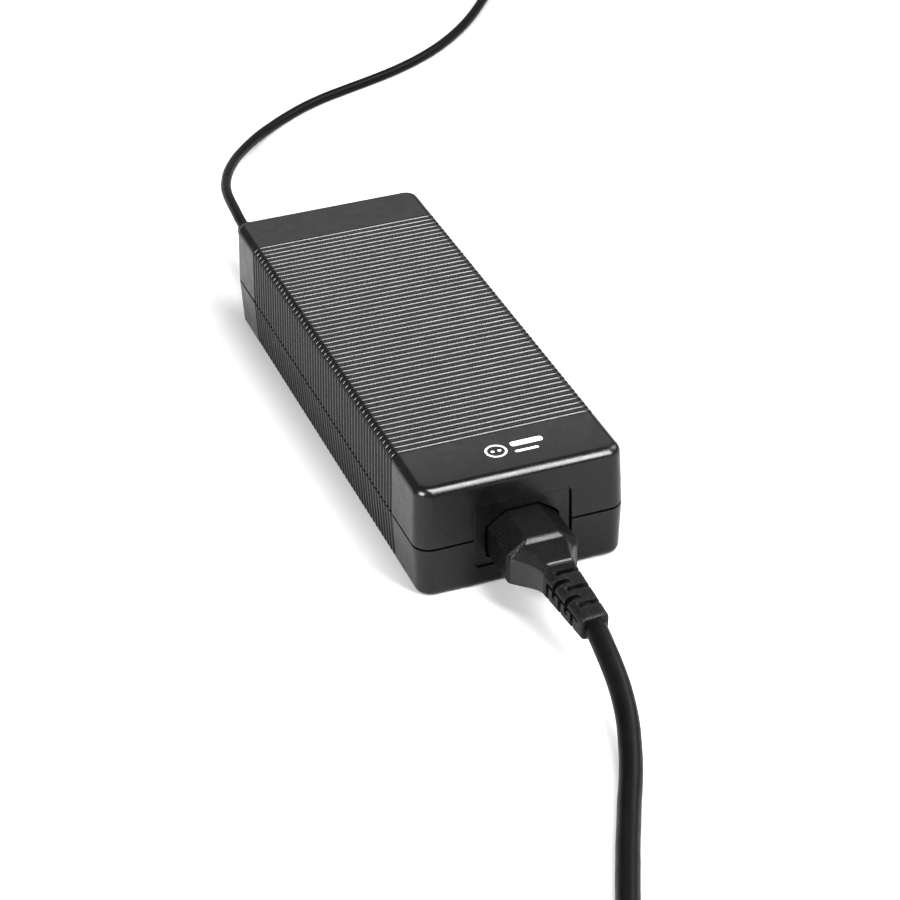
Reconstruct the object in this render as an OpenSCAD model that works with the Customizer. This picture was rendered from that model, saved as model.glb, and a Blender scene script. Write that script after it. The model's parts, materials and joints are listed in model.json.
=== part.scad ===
// Laptop power adapter: a two-shell case with a three-pin inlet at one end and a captive
// low-voltage lead at the other, its switched-mode supply inside, and the detachable mains
// lead plugged in. Millimetres, +Z up. The case stands on z = 0 with its long side along Y,
// the inlet end facing -Y, and the origin under the middle of the case.

/* [Case] */
// Width of the case at its top and bottom edges
case_w = 69.6; // [68:0.2:76]
// Length of the case at its top and bottom edges
case_l = 194; // [190:1:210]
// How far the walls lean out from those edges to the joint between the shells
draft = 0.8; // [0:0.1:1]
// Height of the case
case_h = 40; // [39:0.5:46]
// Thickness of the shell walls
wall = 2.4; // [2:0.1:2.8]
// Height of the joint between the two shells
seam_z = 18.2; // [17.8:0.1:18.6]
// Width of the shadow line between the shells
seam_gap = 0.6; // [0.2:0.1:0.8]
// Radius of the upright corners
corner_r = 5; // [4:0.5:7]
// Radius of the top edges
top_edge_r = 3; // [2:0.5:4]
// Radius of the bottom edges
bottom_edge_r = 2; // [1:0.5:3]

/* [Ribbing] */
// Plain band at the inlet end
front_band = 23; // [20:0.5:28]
// Plain band at the lead end
back_band = 22; // [18:0.5:28]
// Number of grooves between the plain bands
groove_count = 53; // [20:1:60]
// Width of a groove
groove_w = 1.1; // [0.6:0.1:1.6]
// Depth of a groove
groove_d = 0.5; // [0.3:0.1:0.8]

/* [Inlet] */
// Width of the inlet's front flange
flange_w = 32.6; // [31:0.1:33]
// Height of the inlet's front flange
flange_h = 22.6; // [21:0.1:23]
// Height of the flange's centre
flange_z = 18.7; // [18:0.1:19.2]
// Width of the socket
socket_w = 24.6; // [24.4:0.1:25]
// Height of the socket
socket_h = 16.4; // [16.2:0.1:16.8]
// Depth of the socket behind the end face
socket_depth = 17; // [16.5:0.1:18]
// Spacing between the line and neutral pins
pin_spacing = 14; // [14:0.1:14.1]

/* [Mains lead] */
// Diameter of the mains cord
mains_d = 7; // [6.4:0.1:7.4]
// Clearance between the connector's nose and the socket
nose_clearance = 0.4; // [0.3:0.05:0.5]
// Width across the mains coil at the middle of its turns
mains_coil_d = 77; // [70:1:84]

/* [Low-voltage lead] */
// Diameter of the low-voltage cord
dc_d = 4; // [3.6:0.1:4.4]
// Width across the low-voltage coil at the middle of its turns
dc_coil_d = 44; // [40:1:48]
// Outside diameter of the plug's barrel
barrel_d = 5.5; // [5.5:0.1:5.5]
// Bore of the plug's barrel
barrel_bore = 2.5; // [2.1:0.4:2.5]
// Length of the plug's barrel
barrel_l = 9.5; // [9:0.5:11]

/* [Hidden] */

$fn = 48;

case_black = [0.13, 0.13, 0.135];
cord_black = [0.09, 0.09, 0.09];
pin_metal = [0.78, 0.76, 0.70];

front_y = -case_l / 2;
back_y = case_l / 2;
groove_pitch = (case_l - front_band - back_band) / groove_count;

// Heights and places inside the case
floor_z = wall;
board_w = 60;
board_t = 1.6;
board_z = 5.6;
board_front = -70;
board_back = 88;
board_top = board_z + board_t;
lip_t = 1;
lip_h = 2;
lip_fit = 0.1;
label_w = 52;
label_l = 96;
label_t = 0.35;

// Inlet, seen from its end
inlet_z = seam_z;
flange_t = 2.4;
flange_fit = 0.2;
flange_recess = 0.3;
inlet_wall = 1.6;
inlet_back_t = 2.6;
socket_chamfer_w = 6.6;
socket_chamfer_h = 4.8;
pin_w = 2;
pin_h = 4;
pin_drop = 2;
pin_tip = 12.6;
pin_tail = 7;
earth_lead = 0.8;
inlet_back = front_y + socket_depth + inlet_back_t;

// Connector of the mains lead
nose_w = socket_w - 2 * nose_clearance;
nose_h = socket_h - 2 * nose_clearance;
nose_depth = socket_depth - 0.6;
grip_end = front_y - 16.2;
ramp_end = grip_end - 1.7;
neck_end = front_y - 31;
neck_w = 10.4;
neck_top = inlet_z + 6.6;
neck_low = inlet_z - 5;
contact_wall = 0.4;
contact_play = 0.2;
boot_start = [0, neck_end + 1, inlet_z];
boot_tip = [1.6, -151, 16];
boot_core_d = 7.8;

// Low-voltage strain relief
dc_exit_x = -22;
dc_boot_root_d = 8.6;
dc_boot_tip_d = 6.6;
dc_boot_l = 34;
dc_collar_d = 12;

// Coil of the mains lead: two flat layers of turns, lying on the table
mains_coil_at = [-15.5, -331.75];
mains_wide = 3.5;
mains_high = 2;

// Coil of the low-voltage lead: two flat layers of turns
dc_coil_at = [152.5, 380];
dc_wide = 5;
dc_high = 2;

// Wall plug, lying on its side beside the mains coil
plug_at = [48, -379, 11.5];
plug_body_l = 30;
plug_w = 27;
plug_h = 23;
plug_boot_l = 24;
blade_gap = 12.7;
blade_w = 6.35;
blade_t = 1.5;
blade_l = 17.5;
earth_d = 4.8;
earth_l = 20.6;
earth_drop = 11.9;

// Low-voltage plug, lying beside its coil
dc_plug_at = [114.5, 410, 5];
dc_handle_d = 10;
dc_handle_l = 24;
dc_plug_boot_l = 14;

// Route of the mains cord from the connector's strain relief to its coil
mains_route = [
  [1.6, -151, 16], [0.9, -158, 15], [0.2, -166, 13.3], [-0.6, -173, 11.5], [-1.9, -180, 9.7],
  [-3.7, -187, 7.9], [-6.2, -194, 6.3], [-9, -201, 5.1], [-12.2, -208, 4.2], [-15.7, -215, 3.7],
  [-19.2, -222.5, 3.5], [-22.8, -230, 3.5], [-26.4, -238, 3.5], [-30, -246, 3.5],
  [-33.5, -254, 3.5], [-37, -262, 3.5], [-42.5, -275, 3.5], [-48, -288, 3.5],
  [-53.5, -300.5, 3.5], [-58.8, -313, 3.5]
];
// Route from the mains coil's upper turns to the wall plug
mains_tail = [
  [-15.5, -379, 10.5], [-8, -379, 10.1], [0, -379, 9.9], [8, -379, 10.2],
  [16, -379, 11], [24, -379, 11.5]
];
// Route of the low-voltage cord from its strain relief to its coil
dc_route = [
  [-22, 131, 18.2], [-21.5, 140, 17.9], [-20.6, 149, 17.1], [-19.6, 158, 16], [-18.3, 167, 14.7],
  [-16.4, 176, 13.2], [-13.7, 185, 11.7], [-10.4, 194, 10.1], [-6.4, 203, 8.4],
  [-1.8, 212, 6.7], [3.5, 220.5, 5.2], [9.5, 229, 3.9], [16, 237, 2.8], [24, 244.5, 2.2],
  [33, 251.5, 2], [42.5, 257.5, 2], [52.5, 262.5, 2], [63, 266.5, 2], [73.5, 270.3, 2],
  [84, 274.3, 2], [94.5, 279, 2], [104.5, 284.5, 2], [114, 290.8, 2], [123, 298, 2],
  [131.5, 306, 2], [139.5, 314.6, 2], [147, 323.8, 2], [154, 333.2, 2], [161, 342.5, 2],
  [168.1, 351.7, 2], [175.5, 360.7, 2]
];
// Route from the low-voltage coil's upper turns to the plug
dc_tail = [
  [152.5, 410, 6], [146.5, 410, 5.7], [140.5, 410, 5.3], [134.5, 410, 5.1], [128.5, 410, 5]
];

// Outline with round corners, made of straight runs and arcs
module round_rect(w, h, r) {
  square([w - 2 * r, h], center = true);
  square([w, h - 2 * r], center = true);
  for (x = [-1, 1], y = [-1, 1]) {
    translate([x * (w / 2 - r), y * (h / 2 - r)]) circle(r);
  }
}

// Outline of the case seen from its end or side, less an inset all round: walls that lean out
// to the seam, a top edge of its own radius and a bottom edge of its own radius
module wall_profile(size, inset) {
  edge = size / 2 - inset;
  top = case_h - inset;
  r = max(top_edge_r - inset, 0.5);
  b = bottom_edge_r;
  intersection() {
    polygon([
      [-edge, inset], [edge, inset], [edge + draft, seam_z], [edge, top],
      [-edge, top], [-edge - draft, seam_z]
    ]);
    union() {
      translate([-size, b]) square([2 * size, top - r - b]);
      translate([-edge + r, inset]) square([2 * (edge - r), top - inset]);
      translate([-edge + b, inset]) square([2 * (edge - b), b]);
      for (x = [-1, 1]) {
        translate([x * (edge - r), top - r]) circle(r);
        translate([x * (edge - b), inset + b]) circle(b);
      }
    }
  }
}

// Outside form of the case between two heights, before grooving
module case_form(low, high) {
  intersection() {
    rotate([90, 0, 0]) linear_extrude(2 * case_l, center = true) wall_profile(case_w, 0);
    rotate([90, 0, 90]) linear_extrude(2 * case_w, center = true) wall_profile(case_l, 0);
    round_corners();
    translate([-case_w, -case_l, low]) cube([2 * case_w, 2 * case_l, high - low]);
  }
}

// Block with leaning round corners that meet the leaning walls
module round_corners() {
  x = case_w / 2 - corner_r;
  y = case_l / 2 - corner_r;
  big = case_l;
  translate([-x, -big, 0]) cube([2 * x, 2 * big, case_h]);
  translate([-big, -y, 0]) cube([2 * big, 2 * y, case_h]);
  for (u = [-1, 1], v = [-1, 1]) translate([u * x, v * y, 0]) {
    cylinder(h = seam_z, r1 = corner_r, r2 = corner_r + draft);
    translate([0, 0, seam_z]) {
      cylinder(h = case_h - seam_z, r1 = corner_r + draft, r2 = corner_r);
    }
  }
}

// Grooves that run across the top and down both sides
module grooves(low, high) {
  for (k = [0 : groove_count - 1]) {
    y = front_y + front_band + (k + 0.5) * groove_pitch;
    translate([0, y + groove_w / 2, 0]) rotate([90, 0, 0]) linear_extrude(groove_w) {
      difference() {
        translate([-case_w, low]) square([2 * case_w, high - low]);
        groove_floor();
      }
    }
  }
}

// What is left inside the grooves: full depth at the bottom, inset on the sides and top
module groove_floor() {
  wall_profile(case_w, groove_d);
  translate([-case_w / 2 + groove_d, -1]) square([case_w - 2 * groove_d, bottom_edge_r + 1]);
}

// Hollow inside the shells
module cavity(low, high) {
  translate([0, 0, low]) {
    linear_extrude(high - low) {
      round_rect(case_w - 2 * wall, case_l - 2 * wall, corner_r - wall);
    }
  }
}

// Opening for the inlet in the front wall
module inlet_opening() {
  w = flange_w + 2 * flange_fit;
  h = flange_h + 2 * flange_fit;
  translate([-w / 2, front_y - 1, flange_z - h / 2]) cube([w, wall + 2, h]);
}

// Round opening for the low-voltage strain relief in the back wall
module lead_opening() {
  translate([dc_exit_x, back_y + 1, seam_z]) rotate([90, 0, 0]) cylinder(h = wall + 2, d = dc_boot_root_d);
}

module upper_shell() {
  low = seam_z + seam_gap / 2;
  color(case_black) difference() {
    case_form(low, case_h);
    grooves(seam_z - 1, case_h + 1);
    cavity(seam_z - 1, case_h - wall);
    lip_space();
    inlet_opening();
    lead_opening();
  }
}

// Rebate in the upper shell that takes the lower shell's lip
module lip_space() {
  out = wall - lip_t - lip_fit;
  translate([0, 0, seam_z - 1]) {
    linear_extrude(lip_h + 1) round_rect(case_w - 2 * out, case_l - 2 * out, corner_r - out);
  }
}

module lower_shell() {
  high = seam_z - seam_gap / 2;
  color(case_black) difference() {
    union() {
      difference() {
        case_form(0, high);
        grooves(-1, high + 1);
      }
      lip();
    }
    cavity(floor_z, case_h);
    inlet_opening();
    lead_opening();
    translate([-label_w / 2, -label_l / 2, -1]) cube([label_w, label_l, 1.4]);
  }
  color(case_black) board_posts();
}

// Raised lip that locates the upper shell
module lip() {
  out = wall - lip_t;
  translate([0, 0, wall]) {
    linear_extrude(seam_z + lip_h - wall) {
      round_rect(case_w - 2 * out, case_l - 2 * out, corner_r - out);
    }
  }
}

// Posts that hold the circuit board
module board_posts() {
  for (x = [-1, 1], y = [board_front + 6, board_back - 6]) {
    translate([x * (board_w / 2 - 4), y, floor_z - 0.2]) cylinder(h = board_z - floor_z + 0.2, d = 6);
  }
}

module rating_label() {
  color([0.75, 0.75, 0.75]) {
    translate([-label_w / 2 + 0.5, -label_l / 2 + 0.5, 0.4 - label_t]) {
      cube([label_w - 1, label_l - 1, label_t]);
    }
  }
}

// Outline of the socket, with its two cut corners on the earth side
module socket_outline(inset) {
  w = socket_w / 2 - inset;
  h = socket_h / 2 - inset;
  cut_w = socket_chamfer_w - inset / 2;
  cut_h = socket_chamfer_h - inset / 2;
  polygon([[-w, -h], [w, -h], [w, h - cut_h], [w - cut_w, h], [-w + cut_w, h], [-w, h - cut_h]]);
}

// Stands an outline up across the case, reaching from y to y + length
module along_y(y, length, z) {
  translate([0, y + length, z]) rotate([90, 0, 0]) linear_extrude(length) children();
}

module inlet_housing() {
  body_w = socket_w + 2 * inlet_wall;
  body_h = socket_h + 2 * inlet_wall;
  face = front_y + flange_recess;
  color([0.1, 0.1, 0.1]) difference() {
    union() {
      along_y(face, flange_t, flange_z) square([flange_w, flange_h], center = true);
      along_y(face + 1, inlet_back - face - 1, inlet_z) square([body_w, body_h], center = true);
      along_y(front_y + wall, 1.6, flange_z) square([flange_w + 4, flange_h + 4], center = true);
    }
    along_y(front_y - 1, socket_depth + 1, inlet_z) socket_outline(0);
    for (p = pin_places) pin_slot(p);
  }
}

// Pin centres: x, height over the socket's centre, and extra reach of the tip
pin_places = [
  [-pin_spacing / 2, -pin_drop, 0], [pin_spacing / 2, -pin_drop, 0], [0, pin_drop, earth_lead]
];

module pin_slot(p) {
  translate([p[0] - pin_w / 2, inlet_back - inlet_back_t - 1, inlet_z + p[1] - pin_h / 2]) {
    cube([pin_w, inlet_back_t + 2, pin_h]);
  }
}

// One flat inlet pin with a bevelled tip and a narrower solder tail
module inlet_pin(p) {
  tip_y = inlet_back - inlet_back_t - pin_tip - p[2];
  bevel = 0.6;
  color(pin_metal) translate([p[0], 0, inlet_z + p[1]]) {
    rotate([0, -90, 0]) linear_extrude(pin_w, center = true) polygon([
      [-pin_h / 2, inlet_back], [-pin_h / 2, tip_y + bevel], [-pin_h / 2 + bevel, tip_y],
      [pin_h / 2 - bevel, tip_y], [pin_h / 2, tip_y + bevel], [pin_h / 2, inlet_back],
      [1, inlet_back], [1, inlet_back + pin_tail], [-1, inlet_back + pin_tail], [-1, inlet_back]
    ]);
  }
}

module inlet_line_pin() {
  inlet_pin(pin_places[0]);
}

module inlet_neutral_pin() {
  inlet_pin(pin_places[1]);
}

module inlet_earth_pin() {
  inlet_pin(pin_places[2]);
}

// Insulated wires from the pins' tails down to the board
module inlet_wires() {
  wire_d = 2.2;
  colours = ["saddlebrown", "royalblue", "limegreen"];
  for (k = [0 : 2]) {
    p = pin_places[k];
    color(colours[k]) translate([p[0], inlet_back + pin_tail, 0]) {
      translate([0, 0, inlet_z + p[1]]) rotate([-90, 0, 0]) cylinder(h = 3 + k, d = wire_d);
      translate([0, 3 + k, inlet_z + p[1]]) sphere(d = wire_d);
      translate([0, 3 + k, board_top]) cylinder(h = inlet_z + p[1] - board_top, d = wire_d);
    }
  }
}

module circuit_board() {
  color([0.1, 0.35, 0.18]) {
    translate([-board_w / 2, board_front, board_z]) cube([board_w, board_back - board_front, board_t]);
  }
}

// Everything below stands on the board at x, y
module on_board(x, y) {
  translate([x, y, board_top]) children();
}

module fuse() {
  on_board(-22, -60) {
    color("saddlebrown") cylinder(h = 8, d = 8.5);
  }
}

module x_capacitor() {
  color([0.85, 0.7, 0.2]) on_board(-20, -42) translate([-6, -13, 0]) cube([12, 26, 18]);
}

module y_capacitors() {
  color([0.2, 0.35, 0.7]) for (y = [-46, -34]) {
    on_board(25, y) translate([0, 0, 5.5]) rotate([90, 0, 0]) cylinder(h = 4, d = 9, center = true);
    for (x = [-2.5, 2.5]) on_board(25 + x, y) cylinder(h = 3, d = 0.8);
  }
}

// Ferrite ring on edge with two windings
module common_mode_choke() {
  on_board(2, -46) translate([0, 0, 12.5]) {
    color([0.2, 0.2, 0.2]) rotate([90, 0, 0]) ring(14, 22, 9);
    color("peru") for (a = [0, 180]) rotate([0, a, 0]) {
      rotate([90, 0, 0]) translate([0, 0, -5.8]) {
        rotate([0, 0, -50]) rotate_extrude(angle = 100) translate([5.7, 0]) square([6.6, 11.6]);
      }
    }
  }
}

// Flat ring standing on its lower face, centred on the origin
module ring(inner, outer, h) {
  rotate_extrude() translate([inner / 2, -h / 2]) square([(outer - inner) / 2, h]);
}

module inrush_thermistor() {
  color([0.15, 0.35, 0.2]) {
    on_board(24, -60) translate([0, 0, 6.5]) rotate([90, 0, 0]) cylinder(h = 5, d = 11, center = true);
    for (x = [-3.5, 3.5]) on_board(24 + x, -60) cylinder(h = 3, d = 1);
  }
}

module bridge_rectifier() {
  color([0.12, 0.12, 0.12]) on_board(-20, -18) translate([-10, -2.5, 3.4]) cube([20, 5, 14]);
  color(pin_metal) for (k = [0 : 3]) {
    on_board(-20 + (k - 1.5) * 5, -18) translate([-0.6, -0.4, 0]) cube([1.2, 0.8, 3.4]);
  }
}

module boost_choke() {
  on_board(18, -16) {
    color([0.2, 0.2, 0.2]) translate([-12, -10, 0]) cube([24, 20, 6]);
    color([0.2, 0.2, 0.2]) translate([-12, -10, 20]) cube([24, 20, 5]);
    color("peru") translate([0, 0, 6]) cylinder(h = 14, d = 18);
  }
}

module bulk_capacitor() {
  on_board(-12, 20) translate([0, 0, 12.6]) {
    color([0.15, 0.2, 0.45]) rotate([-90, 0, 0]) {
      difference() {
        cylinder(h = 36, d = 25, center = true);
        translate([0, 0, 18.6]) for (a = [0, 90]) rotate([0, 0, a]) cube([18, 1, 2], center = true);
        translate([0, 0, -14]) difference() {
          cylinder(h = 2, d = 26, center = true);
          cylinder(h = 2, d = 23.8, center = true);
        }
      }
    }
  }
}

// Plate heatsink standing on the board, with fins along its top
module heatsink(x, y, length, height, fins) {
  plate_t = 2;
  color([0.7, 0.71, 0.73]) on_board(x, y) {
    difference() {
      union() {
        translate([-plate_t / 2, -length / 2, 0]) cube([plate_t, length, height]);
        for (k = [0 : fins - 1]) {
          translate([-plate_t / 2 - 2, -length / 2, height - 1.2 - 3.5 * k]) cube([3, length, 1.2]);
        }
      }
      for (s = [-1, 1]) {
        translate([-2, s * length / 4, 10]) rotate([0, 90, 0]) cylinder(h = 4, d = 3.2);
      }
    }
  }
}

primary_sink = [14, 22, 40, 28];
secondary_sink = [-25, 64, 36, 28];

module primary_heatsink() {
  heatsink(primary_sink[0], primary_sink[1], primary_sink[2], primary_sink[3], 2);
}

module secondary_heatsink() {
  heatsink(secondary_sink[0], secondary_sink[1], secondary_sink[2], secondary_sink[3], 3);
}

// Flat power package with three legs, held against a heatsink's +X side
module power_package(sink, s) {
  on_board(sink[0] + 1, sink[1] + s * sink[2] / 4) {
    color([0.1, 0.1, 0.1]) difference() {
      translate([0, -5, 4]) cube([4.5, 10, 9]);
      translate([-1, 0, 10]) rotate([0, 90, 0]) cylinder(h = 7, d = 3.2);
    }
    color(pin_metal) for (k = [-1 : 1]) {
      translate([1.8, k * 2.54 - 0.4, 0]) cube([0.6, 0.8, 4]);
    }
  }
}

module switching_transistors() {
  for (s = [-1, 1]) power_package(primary_sink, s);
}

module output_rectifier() {
  for (s = [-1, 1]) power_package(secondary_sink, s);
}

// Pan-head screws through the packages into the heatsinks
module heatsink_screws() {
  color([0.6, 0.6, 0.62]) for (sink = [primary_sink, secondary_sink], s = [-1, 1]) {
    on_board(sink[0] - 1.9, sink[1] + s * sink[2] / 4) translate([0, 0, 10]) rotate([0, 90, 0]) {
      cylinder(h = 7.4, d = 2.9);
      translate([0, 0, 7.4]) difference() {
        cylinder(h = 2, d = 5.6);
        for (a = [0, 90]) rotate([0, 0, a]) translate([-1.6, -0.4, 1]) cube([3.2, 0.8, 2]);
      }
    }
  }
}

transformer_at = [1.5, 60];

// Two E-shaped ferrite halves around the winding
module transformer_core() {
  color([0.22, 0.22, 0.23]) on_board(transformer_at[0], transformer_at[1]) translate([0, 0, 3]) {
    difference() {
      translate([-18, -8, 0]) cube([36, 16, 26]);
      translate([-12.6, -9, 5]) cube([25.2, 18, 16]);
    }
    translate([0, 0, 5]) cylinder(h = 16, d = 11);
  }
}

module transformer_winding() {
  color([0.9, 0.8, 0.2]) on_board(transformer_at[0], transformer_at[1]) translate([0, 0, 16]) {
    ring(11.2, 24, 15.4);
  }
  color(pin_metal) for (y = [-10.5, 10.5], k = [-2 : 2]) {
    on_board(transformer_at[0] + 5 * k, transformer_at[1] + y) cylinder(h = 3.4, d = 0.9);
  }
  color([0.1, 0.1, 0.1]) for (s = [-1, 1]) {
    on_board(transformer_at[0], transformer_at[1] + s * 10.5) {
      translate([-12.5, -2.4, 3.2]) cube([25, 4.8, 3]);
    }
  }
}

// Small moulded chip with legs on both sides
module chip(x, y, w, l, legs) {
  on_board(x, y) {
    color([0.1, 0.1, 0.1]) translate([-w / 2, -l / 2, 0.6]) cube([w, l, 3]);
    color(pin_metal) for (s = [-1, 1], k = [0 : legs - 1]) {
      translate([s * (w / 2 + 0.3) - 0.3, (k - (legs - 1) / 2) * 2 - 0.3, 0]) cube([0.6, 0.6, 2]);
    }
  }
}

module optocoupler() {
  chip(26, 40, 6, 5, 2);
}

module control_chip() {
  chip(25, 10, 6, 10, 4);
}

module output_choke() {
  on_board(4, 81.5) translate([0, 0, 4.2]) {
    color([0.75, 0.65, 0.2]) ring(5, 11, 5);
    color("peru") for (k = [0 : 7]) rotate([0, 0, 45 * k]) translate([4, 0, 0]) {
      rotate([90, 0, 0]) ring(6.2, 8.2, 1);
    }
  }
}

module output_capacitors() {
  color([0.1, 0.12, 0.3]) for (y = [50, 62, 74]) on_board(25, y) difference() {
    cylinder(h = 22, d = 9);
    translate([0, 0, 22]) for (a = [0, 90]) rotate([0, 0, a]) cube([6, 0.6, 0.8], center = true);
    translate([0, 0, 2.5]) difference() {
      cylinder(h = 1, d = 10, center = true);
      cylinder(h = 1, d = 8.2, center = true);
    }
  }
}

module insulating_sheet() {
  color([0.9, 0.85, 0.6]) {
    translate([-board_w / 2, board_front + 12, floor_z]) cube([board_w, 132, 0.4]);
  }
}

// The lead's two insulated conductors, from the strain relief down to the board
module output_wires() {
  wire_d = 2;
  run = 7;
  for (s = [-1, 1]) {
    color(s < 0 ? "firebrick" : "black") translate([dc_exit_x + s * 1.3, 0, 0]) {
      translate([0, back_y - wall - 3, seam_z]) rotate([90, 0, 0]) cylinder(h = run, d = wire_d);
      translate([0, back_y - wall - 3 - run, seam_z]) sphere(d = wire_d);
      translate([0, back_y - wall - 3 - run, board_top]) cylinder(h = seam_z - board_top, d = wire_d);
    }
  }
}

// Flexible sleeve: an inner collar behind the wall, a groove in it, and rings outside
module dc_strain_relief() {
  rings = 6;
  ring_pitch = (dc_boot_l - 8) / rings;
  color(cord_black) translate([dc_exit_x, back_y, seam_z]) rotate([-90, 0, 0]) rotate_extrude() {
    translate([0, -wall - 3]) square([dc_collar_d / 2, 3]);
    translate([0, -wall]) square([dc_boot_root_d / 2 - 0.1, wall + draft]);
    translate([0, draft]) square([dc_boot_root_d / 2 + 1, 3 - draft]);
    polygon([
      [0, 3], [dc_boot_root_d / 2 - 0.9, 3], [dc_boot_tip_d / 2 - 0.7, dc_boot_l], [0, dc_boot_l]
    ]);
    for (k = [0 : rings]) {
      r = dc_boot_root_d / 2 + (dc_boot_tip_d - dc_boot_root_d) / 2 * k / rings;
      translate([0, 4.6 + k * ring_pitch]) square([r, 2.4]);
    }
  }
}

// Unit direction of a route at point k, taken between its neighbours
function heading(p, k) =
  let (a = p[max(k - 1, 0)], b = p[min(k + 1, len(p) - 1)])
  (b - a) / norm(b - a);

// Ring of points around point k, square to the route
function route_ring(p, k, r, sides) =
  let (t = heading(p, k), u = cross(t, [0, 0, 1]) / norm(cross(t, [0, 0, 1])), v = cross(u, t))
  [for (s = [0 : sides - 1]) p[k] + r * (cos(360 * s / sides) * u + sin(360 * s / sides) * v)];

// Plain tube swept along a route
module tube(p, d, sides) {
  n = len(p);
  rings = [for (k = [0 : n - 1]) each route_ring(p, k, d / 2, sides)];
  walls = [
    for (k = [0 : n - 2], s = [0 : sides - 1])
      let (a = k * sides + s, b = k * sides + (s + 1) % sides)
      [a, b, b + sides, a + sides]
  ];
  start = [for (s = [sides - 1 : -1 : 0]) s];
  finish = [for (s = [0 : sides - 1]) (n - 1) * sides + s];
  polyhedron(points = rings, faces = concat([start], walls, [finish]));
}

// Outer shape of a round coil lying on the table
module coil(at, across, d, wide, high) {
  width = wide * d;
  translate(at) rotate_extrude($fn = 64) translate([across / 2 - width / 2, 0]) square([width, high * d]);
}

// Strap around a coil's turns at an angle seen from above
module tie(at, across, d, wide, high, angle, strap_w) {
  strap_t = 0.8;
  width = wide * d + 2 * strap_t;
  rotate_at = [at[0], at[1], 0];
  translate(rotate_at) rotate([0, 0, angle]) translate([across / 2, 0, 0]) difference() {
    translate([-width / 2, -strap_w / 2, 0]) cube([width, strap_w, high * d + strap_t]);
    translate([-wide * d / 2, -strap_w / 2 - 1, strap_t]) cube([wide * d, strap_w + 2, high * d - strap_t]);
  }
}

module dc_cord() {
  color(cord_black) {
    tube(dc_route, dc_d, 8);
    tube(dc_tail, dc_d, 8);
  }
}

module dc_cord_coil() {
  color(cord_black) coil(dc_coil_at, dc_coil_d, dc_d, dc_wide, dc_high);
}

module dc_cord_tie() {
  color([0.2, 0.2, 0.2]) tie(dc_coil_at, dc_coil_d, dc_d, dc_wide, dc_high, 200, 8);
}

// Turns the plug's parts so that +Z of the drawing points along -X of the table
module on_dc_plug() {
  translate(dc_plug_at) rotate([0, -90, 0]) children();
}

module dc_plug_handle() {
  color(cord_black) on_dc_plug() rotate_extrude() {
    polygon([
      [0, -dc_plug_boot_l], [dc_d / 2 + 0.8, -dc_plug_boot_l], [dc_d / 2 + 1.6, 0],
      [dc_handle_d / 2 - 0.6, 0], [dc_handle_d / 2, 1.2], [dc_handle_d / 2, dc_handle_l - 2],
      [dc_handle_d / 2 - 1, dc_handle_l], [0, dc_handle_l]
    ]);
  }
}

module dc_plug_barrel() {
  color(pin_metal) on_dc_plug() translate([0, 0, dc_handle_l]) difference() {
    cylinder(h = barrel_l, d = barrel_d);
    translate([0, 0, 1]) cylinder(h = barrel_l, d = barrel_d - 0.6);
  }
}

module dc_plug_insulator() {
  color([0.8, 0.65, 0.2]) on_dc_plug() translate([0, 0, dc_handle_l + 1]) difference() {
    cylinder(h = barrel_l - 1, d = barrel_d - 0.6);
    translate([0, 0, -1]) cylinder(h = barrel_l + 2, d = barrel_bore + 0.6);
  }
}

module dc_plug_centre_contact() {
  color(pin_metal) on_dc_plug() translate([0, 0, dc_handle_l + 1]) difference() {
    cylinder(h = barrel_l - 1.4, d = barrel_bore + 0.6);
    translate([0, 0, 0.6]) cylinder(h = barrel_l, d = barrel_bore);
  }
}

// Body of the mains connector: a nose in the socket, a grip outside, and a narrowing neck
module connector_body() {
  color(cord_black) difference() {
    union() {
      along_y(grip_end, nose_depth + front_y - grip_end, inlet_z) socket_outline(nose_clearance);
      connector_neck();
    }
    for (p = pin_places) contact_slot(p, 0.2);
  }
}

// Outline of the neck at one place: flat top, a shoulder sloping down on each side, flat bottom
module neck_outline(half, low, shoulder, top_half, top) {
  polygon([
    [-half, low], [half, low], [half, shoulder], [top_half, top], [-top_half, top],
    [-half, shoulder]
  ]);
}

// Neck with hollow flanks, a step down from the grip on top and a raised bar before its end
module connector_neck() {
  half = nose_w / 2;
  top = inlet_z + nose_h / 2;
  low = inlet_z - nose_h / 2;
  grip_top = half - socket_chamfer_w;
  grip_shoulder = top - socket_chamfer_h;
  slice = 0.05;
  bar_w = 8.8;
  bar_t = 0.9;
  bar_rise = 0.4;
  narrowing = half - neck_w / 2;
  run = grip_end - neck_end;
  flank_r = (run * run + narrowing * narrowing) / (2 * narrowing);
  intersection() {
    union() {
      hull() {
        along_y(grip_end, 1, 0) neck_outline(half, low, grip_shoulder, grip_top, top);
        along_y(ramp_end, slice, 0) neck_outline(half, low, 19.4, 6.4, neck_top);
      }
      hull() {
        along_y(ramp_end, slice, 0) neck_outline(half, low, 19.4, 6.4, neck_top);
        along_y(neck_end, slice, 0) neck_outline(neck_w / 2, neck_low, 21.2, 4.5, neck_top);
      }
    }
    translate([0, 0, low]) linear_extrude(nose_h) difference() {
      translate([-half, neck_end]) square([nose_w, run + 1]);
      for (x = [-1, 1]) translate([x * (neck_w / 2 + flank_r), neck_end]) circle(flank_r, $fn = 96);
    }
  }
  translate([-bar_w / 2, neck_end + 0.95, neck_top - 0.5]) cube([bar_w, bar_t, 0.5 + bar_rise]);
}

// Chamber for one contact, open at the nose
module contact_slot(p, play) {
  w = pin_w + 2 * (contact_wall + contact_play + play);
  h = pin_h + 2 * (contact_wall + contact_play + play);
  depth = 15.6;
  translate([p[0] - w / 2, front_y + nose_depth - depth, inlet_z + p[1] - h / 2]) cube([w, depth + 1, h]);
}

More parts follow.
